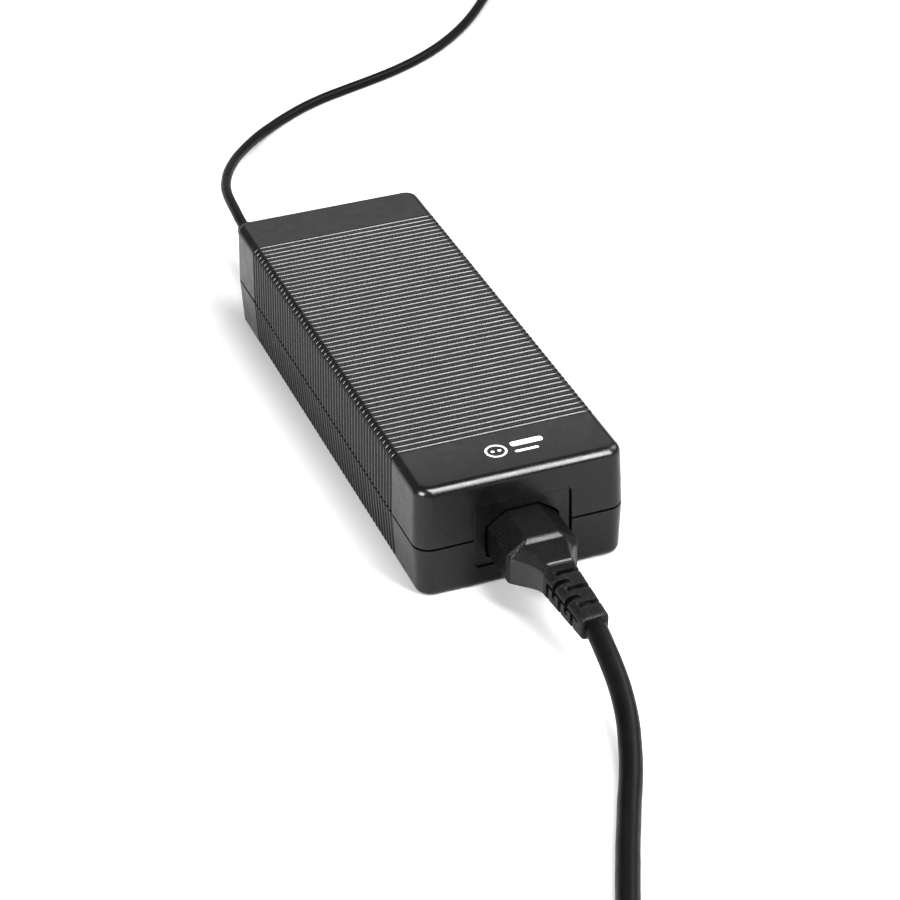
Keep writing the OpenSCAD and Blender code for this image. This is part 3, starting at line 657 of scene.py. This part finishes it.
def corner_arc(x, y, radius, start, z):
    """Points of a quarter circle about an upright corner's centre."""
    points = []
    for step in range(ARC_STEPS + 1):
        angle = math.radians(start + 90 * step / ARC_STEPS)
        points.append((x + radius * math.cos(angle), y + radius * math.sin(angle), z))
    return points


def cap(mesh, row, z, top_cut):
    """Fills a ring with strips that follow the grooves, and a fan in each round corner."""
    columns = len(COLUMNS)
    stations = len(STATIONS)
    grid = [
        [mesh.verts.new(mm(x, y, z - depth * GROOVE_D * top_cut)) for x in COLUMNS]
        for y, depth in STATIONS
    ]
    for a, b in zip(grid, grid[1:]):
        for k in range(columns - 1):
            mesh.faces.new((a[k], a[k + 1], b[k + 1], b[k]))
    front = 0
    right = front + columns - 1 + ARC_STEPS
    back = right + stations - 1 + ARC_STEPS
    left = back + columns - 1 + ARC_STEPS
    count = len(row)
    for k in range(columns - 1):
        mesh.faces.new((row[front + k], row[front + k + 1], grid[0][k + 1], grid[0][k]))
        far = columns - 1 - k
        mesh.faces.new((row[back + k], row[back + k + 1], grid[-1][far - 1], grid[-1][far]))
    for k in range(stations - 1):
        mesh.faces.new((row[right + k], row[right + k + 1], grid[k + 1][-1], grid[k][-1]))
        far = stations - 1 - k
        ends = (row[left + k], row[(left + k + 1) % count])
        mesh.faces.new((ends[0], ends[1], grid[far - 1][0], grid[far][0]))
    corners = (
        (right - ARC_STEPS, grid[0][-1]), (back - ARC_STEPS, grid[-1][-1]),
        (left - ARC_STEPS, grid[-1][0]), (count - ARC_STEPS, grid[0][0]),
    )
    for start, centre in corners:
        for step in range(ARC_STEPS):
            mesh.faces.new((row[start + step], row[(start + step + 1) % count], centre))


def lean(z):
    """How far the wall stands out at a height, because it leans out towards the seam."""
    if z > SEAM_Z:
        return DRAFT * (CASE_H - z) / (CASE_H - SEAM_Z)
    return DRAFT * z / SEAM_Z


def edge_levels(radius, z_centre, upward, steps):
    """Levels of a rounded edge, from the wall to the flat: spread, height, and both cuts."""
    for step in range(steps + 1):
        angle = math.pi / 2 * step / steps
        spread = -radius * (1 - math.cos(angle)) + lean(z_centre) * math.cos(angle)
        z = z_centre + upward * radius * math.sin(angle)
        yield spread, z, math.cos(angle), max(upward, 0) * math.sin(angle)


def wall_levels(z_from, z_to, count):
    """Levels of a leaning wall, without its ends."""
    for k in range(1, count):
        z = z_from + (z_to - z_from) * k / count
        yield lean(z), z, 1.0, 0.0


def rim_levels(rim, inward):
    """Levels of a rounded rim with its flat at height rim; inward is 1 or -1, into the shell."""
    yield lean(rim), rim + inward * RIM_R, 1.0, 0.0
    yield lean(rim) - RIM_R * 0.3, rim + inward * RIM_R * 0.3, 1.0, 0.0
    yield lean(rim) - RIM_R, rim, 1.0, 0.0


def case_half(name, node, flat, edge_r, side, edge_steps, wall_steps, lip_gap):
    """One shell as a closed mesh, from its outer flat round the rim to its inner flat.

    side is 1 for the upper shell and -1 for the lower one.
    """
    rim = SEAM_Z + side * SEAM_GAP / 2
    edge_z = flat - side * edge_r
    lip = -WALL + LIP_T + lip_gap
    inner = flat - side * WALL
    levels = list(edge_levels(edge_r, edge_z, side, edge_steps))[::-1]
    levels += wall_levels(edge_z, rim + side * RIM_R, wall_steps)
    levels += rim_levels(rim, side)
    levels += [
        (lip, rim, 0.0, 0.0), (lip, SEAM_Z + LIP_H, 0.0, 0.0), (-WALL, SEAM_Z + LIP_H, 0.0, 0.0),
        (-WALL, inner, 0.0, 0.0),
    ]
    mesh = bmesh.new()
    rows = join_rings(mesh, [case_ring(*level) for level in levels], closed_ends=False)
    cap(mesh, rows[0], flat, max(side, 0))
    cap(mesh, rows[-1], inner, 0.0)
    return add_piece(name, mesh, "adapter", [node])


upper = case_half("upper_shell_moulding", "upper_shell", CASE_H, TOP_EDGE_R, 1, 8, 5, LIP_FIT)
lower = case_half("lower_shell_moulding", "lower_shell", 0.0, BOTTOM_EDGE_R, -1, 6, 4, 0.0)

OPENING_HALF = 16.5
OPENING_LOW = 7.2
OPENING_HIGH = 30.2
DC_X = -22.0
DC_HOLE = 8.6
LABEL_POCKET = ((-26, -48, -1), (26, 48, 0.4))
for shell in (upper, lower):
    cut_away(
        shell, (-OPENING_HALF, -CASE_L / 2 - 3, OPENING_LOW),
        (OPENING_HALF, -CASE_L / 2 + WALL + 1, OPENING_HIGH), bevel=0.8,
    )
    cut_hole(shell, DC_X, SEAM_Z, CASE_L / 2 - WALL - 1, CASE_L / 2 + 3, DC_HOLE)
cut_away(lower, *LABEL_POCKET)
for shell in (upper, lower):
    shell.data.set_sharp_from_angle(angle=math.radians(SHARP_DEGREES))
    keep_flats_flat(shell)


# -------- lofted sleeves
def oval_ring(origin, across, upward, half_a, half_u, power, points, dent=None):
    """Ring of points about origin: a circle for power 2, and squarer for a higher power.

    across and upward are unit vectors; dent(angle) gives how far, in parts, the ring falls in
    to its smaller radius, and that radius.
    """
    ring = []
    for k in range(points):
        angle = 2 * math.pi * k / points
        c, s = math.cos(angle), math.sin(angle)
        radius = (abs(c / half_a) ** power + abs(s / half_u) ** power) ** (-1 / power)
        if dent:
            part, floor_radius = dent(math.degrees(angle))
            radius += (min(floor_radius, radius) - radius) * part
        ring.append((origin + across * (radius * c) + upward * (radius * s)) * MM)
    return ring


def sleeve_axes(start, end):
    """Unit vectors along a sleeve, across it to the right, and upwards from it."""
    along = (Vector(end) - Vector(start)).normalized()
    across = along.cross(Vector((0, 0, 1))).normalized()
    upward = across.cross(along)
    return along, across, upward


def turned(name, start, direction, profile, body, replaced, points=48, power=None):
    """A round PVC piece from a profile of (distance, radius) or (distance, half_a, half_u)."""
    along, across, upward = sleeve_axes(start, Vector(start) + Vector(direction))
    rings = []
    for row in profile:
        half_a, half_u = row[1], row[-1]
        square = power(row[0]) if power else 2
        centre = Vector(start) + along * row[0]
        rings.append(oval_ring(centre, across, upward, half_a, half_u, square, points))
    piece = add_piece(name, loft(rings), body, replaced)
    dress(piece, FINISHES["moulded_pvc"])
    return piece


def rounded_step(low, high, radius_low, radius_high, edge):
    """Profile rows of a raised ring with round shoulders, between two distances."""
    shoulder = ((0, 0), (0.15, 0.6), (0.5, 0.92), (1, 1))
    for part, rise in shoulder:
        yield low + edge * part, radius_low + (radius_high - radius_low) * rise
    for part, rise in reversed(shoulder):
        yield high - edge * part, radius_low + (radius_high - radius_low) * rise


# -------- mains connector
# Its parts end at these places along Y, and have these half-widths and heights
NOSE_HALF = 11.9
NOSE_LOW = 10.4
NOSE_TOP = 26.0
CHAMFER_Z = 21.4
CHAMFER_X = 5.5
NOSE_END = -80.6
GRIP_END = -113.2
RAMP = 1.7
RAMP_END = GRIP_END - RAMP
NECK_END = -128.0
NECK_HALF = 5.2
NECK_TOP = 24.85
SHOULDER_LOW = 19.4
SHOULDER_RISE = 1.8
BAR_Y = -126.6
BAR_RISE = 0.45
CONNECTOR_RADII = (1.6, 1.6, 0.9, 0.55, 0.55, 0.9)
CONTACTS = ((-7, 16.2), (7, 16.2), (0, 20.2))


def flank(y):
    """Half-width of the connector: straight to the grip's end, then in along a hollow arc."""
    run = GRIP_END - NECK_END
    narrowing = NOSE_HALF - NECK_HALF
    radius = (run * run + narrowing * narrowing) / (2 * narrowing)
    if y >= GRIP_END:
        return NOSE_HALF
    return NECK_HALF + radius - math.sqrt(radius * radius - (y - NECK_END) ** 2)


def neck_shoulder(y):
    """Height at which the neck's sides turn in towards its top."""
    return SHOULDER_LOW + SHOULDER_RISE * (GRIP_END - y) / (GRIP_END - NECK_END)


def connector_section(y, shrink=0.0):
    """Outline of the connector at y, seen from its end, as (x, z) points with round corners."""
    half = flank(y) - shrink
    shoulder = CHAMFER_Z
    top = NOSE_TOP
    top_half = CHAMFER_X
    low = NOSE_LOW
    if y < GRIP_END:
        ramp = min((GRIP_END - y) / RAMP, 1)
        along = (GRIP_END - y) / (GRIP_END - NECK_END)
        shoulder += (neck_shoulder(y) - CHAMFER_Z) * ease(-y, -GRIP_END, -GRIP_END + 0.65)
        top -= (NOSE_TOP - NECK_TOP) * ramp
        top_half += 1.2 * ramp - 2.3 * ease(along, 0.1, 1)
        low += 2.8 * ease(along, 0.05, 1)
        top += BAR_RISE * ease(BAR_Y - y, -0.65, -0.4) * ease(y - BAR_Y, -0.85, -0.15)
    top -= shrink
    low += shrink
    outline = [
        (-half, low), (half, low), (half, shoulder), (top_half, top), (-top_half, top),
        (-half, shoulder),
    ]
    return round_corners(outline, CONNECTOR_RADII, 4)


def connector_body():
    """The connector from its nose to its neck, with a smoother finish on the hollow flanks."""
    stations = [(NOSE_END, 0.6), (NOSE_END - 0.2, 0.25), (NOSE_END - 0.6, 0.0)]
    stations += [(y, 0.0) for y in (-90, -97, -105, -112.6)]
    stations += [(GRIP_END + 0.25, 0.02), (GRIP_END, 0.12)]
    stations += [(GRIP_END - RAMP * k / 5, 0.0) for k in range(1, 6)]
    stations += [(RAMP_END - 0.4 - 1.16 * k, 0.0) for k in range(9)]
    for offset in (0.75, 0.65, 0.58, 0.52, 0.46, 0.4, -0.15, -0.3, -0.45, -0.6, -0.72, -0.85):
        stations.append((BAR_Y + offset, 0.0))
    stations += [(NECK_END + 0.4, 0.0), (NECK_END + 0.12, 0.1), (NECK_END, 0.4)]
    mesh = loft([
        [mm(x, y, z) for x, z in connector_section(y, shrink)] for y, shrink in stations
    ])
    mesh.normal_update()
    for face in mesh.faces:
        middle = face.calc_center_median() / MM
        below_shoulder = NOSE_LOW + 1 < middle.z < neck_shoulder(middle.y) + 0.3
        side = below_shoulder and middle.y < GRIP_END - 0.7
        step_down = abs(face.normal.x) < 0.1 and face.normal.y < -0.2
        face.material_index = 1 if side or step_down else 0
    piece = add_piece(
        "mains_connector_moulding", mesh, "mains_lead", ["connector_body"], 32,
    )
    piece.data.materials.append(FINISHES["moulded_pvc"].material)
    piece.data.materials.append(SMOOTH_PVC.material)
    for x, z in CONTACTS:
        cut_away(piece, (x - 1.8, -96.2, z - 2.8), (x + 1.8, NOSE_END + 1, z + 2.8))
    keep_flats_flat(piece)


# -------- mains strain relief
# Half-widths at its start are across (A) and upwards (U), and both taper by the same amount
RELIEF_START = (0.0, -127.0, 18.2)
RELIEF_END = (1.6, -151.0, 16.0)
RELIEF_HALF_A = 5.7
RELIEF_HALF_U = 5.3
RELIEF_TAPER = 1.1
RELIEF_CORE = 3.9
RELIEF_SLOT = 1.6
# Distance along the sleeve, and the first and last angle of the two opposite slots there
RELIEF_SLOTS = [
    (2.6, 62, 196), (6.4, -12, 84), (10.1, 62, 196), (13.9, -12, 84), (17.6, 62, 196),
]


def slot_depth(distance, angle):
    """How deep the sleeve is cut, from 0 to 1, at a distance along it and an angle round it.

    Besides the slots there is a crease along each side, where they end.
    """
    depth = 0.0
    for middle, first, last in RELIEF_SLOTS:
        lengthwise = ease(RELIEF_SLOT / 2 + 0.12 - abs(distance - middle), 0.0, 0.24)
        for turn in (0, 180):
            centre = (first + last) / 2 + turn
            away = abs((angle - centre + 180) % 360 - 180)
            roundwise = ease((last - first) / 2 + 4 - away, 0, 8)
            depth = max(depth, lengthwise * roundwise)
    for middle in (18, 198):
        crease = ease(4.5 - abs((angle - middle + 180) % 360 - 180), 0, 3)
        depth = max(depth, 0.5 * crease * ease(distance, 1.4, 1.8) * ease(-distance, -21.8, -21.2))
    return depth


def mains_strain_relief():
    """Squarish tapered sleeve with staggered slots, from the connector's neck to the cord."""
    along, across, upward = sleeve_axes(RELIEF_START, RELIEF_END)
    length = (Vector(RELIEF_END) - Vector(RELIEF_START)).length
    distances = [0, 0.8, 1.3]
    for middle, _, _ in RELIEF_SLOTS:
        for offset in (0.92, 0.86, 0.8, 0.74, 0.68, 0.3):
            distances += [middle - offset, middle + offset]
        distances += [middle, middle + 1.9]
    distances += [20.5, 22, length - 0.9, length - 0.5, length - 0.2, length]
    end_rounding = {length - 0.5: 0.1, length - 0.2: 0.35, length: 0.8}
    rings = []
    for distance in sorted(set(distances)):
        taper = distance / length
        shrink = end_rounding.get(distance, 0.0)
        half_a = RELIEF_HALF_A - RELIEF_TAPER * taper - shrink
        half_u = RELIEF_HALF_U - RELIEF_TAPER * taper - shrink
        centre = Vector(RELIEF_START) + along * distance

        def dent(angle, distance=distance):
            return slot_depth(distance, angle), RELIEF_CORE

        rings.append(oval_ring(centre, across, upward, half_a, half_u, 5, 120, dent))
    piece = add_piece(
        "mains_strain_relief_moulding", loft(rings), "mains_lead",
        ["connector_strain_relief"], 40,
    )
    dress(piece, FINISHES["moulded_pvc"])
    return piece


# -------- low-voltage strain relief
DC_RELIEF_L = 34.0
DC_RELIEF_RINGS = 7


def dc_strain_relief():
    """Flange inside the wall, collar outside it, and a slim sleeve with rings round the cord."""
    profile = [(-5.4, 5.4), (-5.2, 5.9), (-4.9, 6.0), (-2.5, 6.0), (-2.4, 5.9), (-2.4, 4.2)]
    profile += [(0.8, 4.2), (0.8, 5.1), (0.95, 5.3), (2.7, 5.3), (2.95, 5.1), (3.0, 4.9)]
    length = DC_RELIEF_L
    for k in range(DC_RELIEF_RINGS):
        part = k / (DC_RELIEF_RINGS - 1)
        middle = 5.8 + (length - 8) * part
        groove_r = 3.4 - 0.8 * (middle - 3) / (length - 3)
        profile += rounded_step(middle - 1.2, middle + 1.2, groove_r, 4.3 - part, 0.35)
    profile += [(length - 0.4, 2.62), (length - 0.1, 2.5), (length, 2.3)]
    return turned(
        "low_voltage_strain_relief_moulding", (DC_X, CASE_L / 2, SEAM_Z), (0, 1, 0), profile,
        "adapter", ["dc_strain_relief"],
    )


# -------- plugs
WALL_PLUG = (48.0, -379.0, 11.5)
WALL_BOOT_L = 24.0
WALL_BODY_L = 30.0
WALL_HALF_A = 13.5
WALL_HALF_U = 11.5
DC_PLUG = (114.5, 410.0, 5.0)


def wall_plug():
    """Boot with rings, then a squarish body with a finger scoop on each side."""
    profile = [(0, 4.0, 4.0), (0.3, 4.4, 4.4)]
    for k in range(5):
        middle = 3.2 + 4.4 * k
        groove_r = 4.4 + 2.0 * middle / WALL_BOOT_L
        rows = rounded_step(middle - 1.2, middle + 1.2, groove_r, 5.2 + 0.4 * k, 0.35)
        profile += [(distance, radius, radius) for distance, radius in rows]
    start = WALL_BOOT_L
    profile += [(start - 0.4, 6.4, 6.4), (start, 7.2, 7.0), (start + 0.05, 12.0, 10.0)]
    for distance, inset in ((0.4, 0.6), (1.2, 0.1), (2.2, 0)):
        profile.append((start + distance, WALL_HALF_A - inset, WALL_HALF_U - inset))
    steps = 16
    for k in range(steps + 1):
        distance = 6.3 + 9.4 * k / steps
        scoop = math.sqrt(max(49 - (distance - 11) ** 2, 0)) - 5.4
        profile.append((start + distance, WALL_HALF_A - max(scoop, 0), WALL_HALF_U))
    for distance, inset in ((6, 0), (1, 0), (0.3, 0.2), (0, 0.7)):
        place = start + WALL_BODY_L - distance
        profile.append((place, WALL_HALF_A - inset, WALL_HALF_U - inset))

    def power(distance):
        return 2 if distance < start - 0.2 else 5

    return turned(
        "wall_plug_moulding", (WALL_PLUG[0] - start, *WALL_PLUG[1:]), (1, 0, 0), profile,
        "mains_lead", ["wall_plug_body"], 64, power,
    )


def dc_plug():
    """Slim boot and a round handle with three grip grooves near its front."""
    profile = [(-14, 2.3), (-13.8, 2.6), (-13.4, 2.8)]
    for k in range(3):
        middle = -11 + 3.6 * k
        profile += rounded_step(middle - 0.9, middle + 0.9, 2.9 + 0.1 * k, 3.5 + 0.1 * k, 0.3)
    profile += [(-0.5, 3.5), (0, 3.6), (0.05, 4.2), (0.4, 4.7), (1.2, 5.0), (12, 5.0)]
    for k in range(3):
        edge = 13.6 + 2.0 * k
        profile += [(edge, 5.0), (edge + 0.15, 4.85), (edge + 0.25, 4.6)]
        profile += [(edge + 0.75, 4.6), (edge + 0.85, 4.85), (edge + 1.0, 5.0)]
    profile += [(22, 5.0), (23, 4.75), (23.7, 4.3), (24, 3.8)]
    return turned(
        "low_voltage_plug_moulding", DC_PLUG, (-1, 0, 0), profile,
        "adapter", ["dc_plug_handle"],
    )


# -------- ties
TIE_T = 0.8
TIE_LAPS = 1.24


def rounded_path(half, height, radius, laps, steps=6):
    """Points and outward directions round a standing rectangle, starting at its top left."""
    corners = (
        (half - radius, height - radius, 90), (half - radius, radius, 0),
        (-half + radius, radius, -90), (-half + radius, height - radius, 180),
    )
    lap = []
    for x, z, start in corners:
        for step in range(steps + 1):
            angle = math.radians(start - 90 * step / steps)
            normal = (math.cos(angle), math.sin(angle))
            lap.append(((x + radius * normal[0], z + radius * normal[1]), normal))
    lap = lap[-1:] + lap[:-1]
    return (lap * 2)[:round(len(lap) * laps)]


def coil_reach(points, centre, angle):
    """Nearest and farthest distance of a coil's cord from its centre, near one angle."""
    reaches = []
    for x, y, _ in points:
        away = Vector((x - centre[0], y - centre[1]))
        turn = math.degrees(math.atan2(away.y, away.x)) - angle
        if abs((turn + 180) % 360 - 180) < 12:
            reaches.append(away.length)
    return min(reaches), max(reaches)


def strap_tie(name, points, centre, cord_d, angle, width, body, node):
    """A hook-and-loop strap once round the turns of a coil, its end lapped over the top."""
    near, far = coil_reach(points, centre, angle)
    turn = math.radians(angle)
    out = Vector((math.cos(turn), math.sin(turn), 0))
    side = Vector((-math.sin(turn), math.cos(turn), 0))
    base = Vector((*centre, 0)) + out * ((near + far) / 2)
    half = (far - near + cord_d) / 2
    height = 2 * cord_d
    path = rounded_path(half, height - TIE_T, cord_d / 2, TIE_LAPS)
    lap = round(len(path) / TIE_LAPS)
    rings = []
    for k, (point, normal) in enumerate(path):
        lift = TIE_T * 1.02 * ease(k, lap - 3, lap + 1)
        inner = Vector(point) + Vector(normal) * lift + Vector((0, TIE_T))
        outer = inner + Vector(normal) * TIE_T
        end = 1 - 0.12 * ease(k, len(path) - 2, len(path) - 1)
        ring = []
        for place, edge in ((inner, -1), (inner, 1), (outer, 1), (outer, -1)):
            rise = min(max(place.y, 0.02), height + 2.6 * TIE_T)
            spot = base + out * place.x + side * (edge * width / 2 * end) + Vector((0, 0, rise))
            ring.append(spot * MM)
        rings.append(ring)
    piece = add_piece(name, loft(rings), body, [node], 50)
    dress(piece, FINISHES["tie_strap"])
    soft = piece.modifiers.new("soft_edges", "BEVEL")
    soft.width = 0.15 * MM
    soft.segments = 2
    return piece


# -------- inlet
def inlet_housing():
    """Flange, socket and body of the inlet, lofted from the socket's floor round to its back."""
    face = -CASE_L / 2 + 0.3
    floor_y = -80.0
    back_y = -77.4
    # Half-width, height, middle and cut corners of each block
    bezel = (16.3, 22.6, 18.7, 0.8)
    flange = (18.3, 26.6, 18.7, 1.0)
    body = (13.9, 19.6, 18.2, 1.0)

    def block(half, height, middle, edge):
        """A rectangle with small cut corners, in the order of the socket's outline."""
        low, high = middle - height / 2, middle + height / 2
        return [
            (-half, low), (half, low), (half, high - edge), (half - edge, high),
            (-half + edge, high), (-half, high - edge),
        ]

    def socket(inset):
        """Outline of the socket, made smaller by an inset."""
        half = 12.3 - inset
        return [
            (-half, 10.0 + inset), (half, 10.0 + inset), (half, 21.6 - inset / 2),
            (5.7, 26.4 - inset), (-5.7, 26.4 - inset), (-half, 21.6 - inset / 2),
        ]

    levels = [
        (floor_y, socket(0.6), 1.0), (floor_y, socket(0.2), 1.0), (floor_y - 0.3, socket(0), 1.0),
        (face + 0.5, socket(0), 1.0), (face + 0.15, socket(-0.12), 1.0), (face, socket(-0.4), 1.0),
        (face, block(15.9, 22.0, 18.7, 0.8), 0.8), (face + 0.1, block(16.2, 22.4, 18.7, 0.8), 0.8),
        (face + 0.35, block(*bezel), 0.8), (face + 2.1, block(*bezel), 0.8),
        (face + 2.1, block(*flange), 1.0), (face + 3.7, block(*flange), 1.0),
        (face + 3.7, block(*body), 1.0), (back_y - 0.3, block(*body), 1.0),
        (back_y, block(13.6, 19.0, 18.2, 1.0), 1.0),
    ]
    rings = []
    for y, outline, radius in levels:
        rings.append([mm(x, y, z) for x, z in round_corners(outline, [radius] * 6, 4)])
    piece = add_piece(
        "inlet_socket_moulding", loft(rings), "adapter", ["inlet_housing"], 30,
    )
    dress(piece, FINISHES["inlet_plastic"])
    for x, z in CONTACTS:
        cut_away(piece, (x - 1, floor_y - 1, z - 2), (x + 1, back_y + 1, z + 2))
    keep_flats_flat(piece)


# -------- printed mark
def printed_mark():
    """A plain symbol in white ink on the front band: a ring with two dots, and two bars."""
    mesh = bmesh.new()
    ink_low, ink_high = CASE_H - 0.02, CASE_H + 0.03

    def prism(outline):
        """A flat closed shape of ink."""
        join_rings(mesh, [[mm(x, y, z) for x, y in outline] for z in (ink_low, ink_high)])

    def disc(x, y, radius, points=32):
        turn = 2 * math.pi / points
        return [
            (x + radius * math.cos(turn * k), y + radius * math.sin(turn * k))
            for k in range(points)
        ]

    ring_x, ring_y = -3.5, -83.5
    outer, inner = 3.6, 2.9
    rings = []
    for radius, z in (
        (outer, ink_low), (outer, ink_high), (inner, ink_high), (inner, ink_low), (outer, ink_low),
    ):
        rings.append([mm(x, y, z) for x, y in disc(ring_x, ring_y, radius, 48)])
    join_rings(mesh, rings, closed_ends=False)
    for offset in (-1.15, 1.15):
        prism(disc(ring_x + offset, ring_y, 0.6))
    left = 2.0
    for low_y, high_y, right in ((-83.0, -80.4, 13.0), (-86.6, -85.4, 10.0)):
        bar = [(left, low_y), (right, low_y), (right, high_y), (left, high_y)]
        prism(round_corners(bar, [(high_y - low_y) / 2] * 4, 4))
    dress(add_piece("printed_mark", mesh, "adapter", []), WHITE_INK)


connector_body()
mains_relief = mains_strain_relief()
dc_relief = dc_strain_relief()
wall_plug_piece = wall_plug()
dc_plug_piece = dc_plug()
mains_tie = strap_tie(
    "mains_cord_tie_strap", mains_coil, MAINS_COIL, MAINS_D, angle=20, width=12,
    body="mains_lead", node="mains_cord_tie",
)
dc_tie = strap_tie(
    "low_voltage_cord_tie_strap", dc_coil, DC_COIL, DC_D, angle=200, width=8,
    body="adapter", node="dc_cord_tie",
)
inlet_housing()
printed_mark()


# -------- dressing
NODE_SLOTS = {part["node"]: part["material_slot"] for part in frame["record"]["subparts"]}

for name, piece in nodes.items():
    dress(piece, WIRE_FINISHES.get(name) or FINISHES[NODE_SLOTS[name]])
for piece in (upper, lower):
    dress(piece, FINISHES["case_plastic"])


# -------- stage
LIGHTS_AIM = (0, 0, 0.02)


def add_floor():
    """A large white table top, with the faintest unevenness."""
    mesh = bpy.data.meshes.new("floor")
    mesh.from_pydata([(-6, -6, 0), (6, -6, 0), (6, 6, 0), (-6, 6, 0)], [], [(0, 1, 2, 3)])
    floor = add_object("floor", mesh)
    finish = Finish("white_table", (0.465, 0.465, 0.465), 0.6)
    finish.paint(finish.tint(0.01, 4))
    finish.shader.inputs["Specular IOR Level"].default_value = 0.2
    mesh.materials.append(finish.material)


def add_softbox(name, direction, distance, size, power):
    """A rectangular soft light in a direction from the middle of the case, facing it."""
    light = bpy.data.lights.new(name, "AREA")
    light.shape = "RECTANGLE"
    light.size, light.size_y = size
    light.energy = power
    lamp = add_object(name, light)
    away = Vector(direction).normalized()
    lamp.location = Vector(LIGHTS_AIM) + away * distance
    lamp.rotation_euler = away.to_track_quat("Z", "Y").to_euler()


add_floor()
add_softbox("key_softbox", (0.29, -0.54, 0.79), 1.2, (0.34, 1.5), 28)
add_softbox("side_softbox", (0.9, 0.1, 0.75), 1.4, (0.8, 0.8), 8)
add_softbox("left_softbox", (-0.75, -0.4, 0.5), 1.4, (0.8, 0.8), 30)
add_softbox("back_softbox", (0.29, 0.79, 0.54), 1.6, (1.0, 0.6), 1.3)
world = bpy.data.worlds.new("studio")
bpy.context.scene.world = world
world.use_nodes = True
world.node_tree.nodes["Background"].inputs["Color"].default_value = (1, 1, 1, 1)
world.node_tree.nodes["Background"].inputs["Strength"].default_value = 0.3
bpy.context.scene.view_settings.view_transform = "Standard"
bpy.context.scene.view_settings.look = "High Contrast"
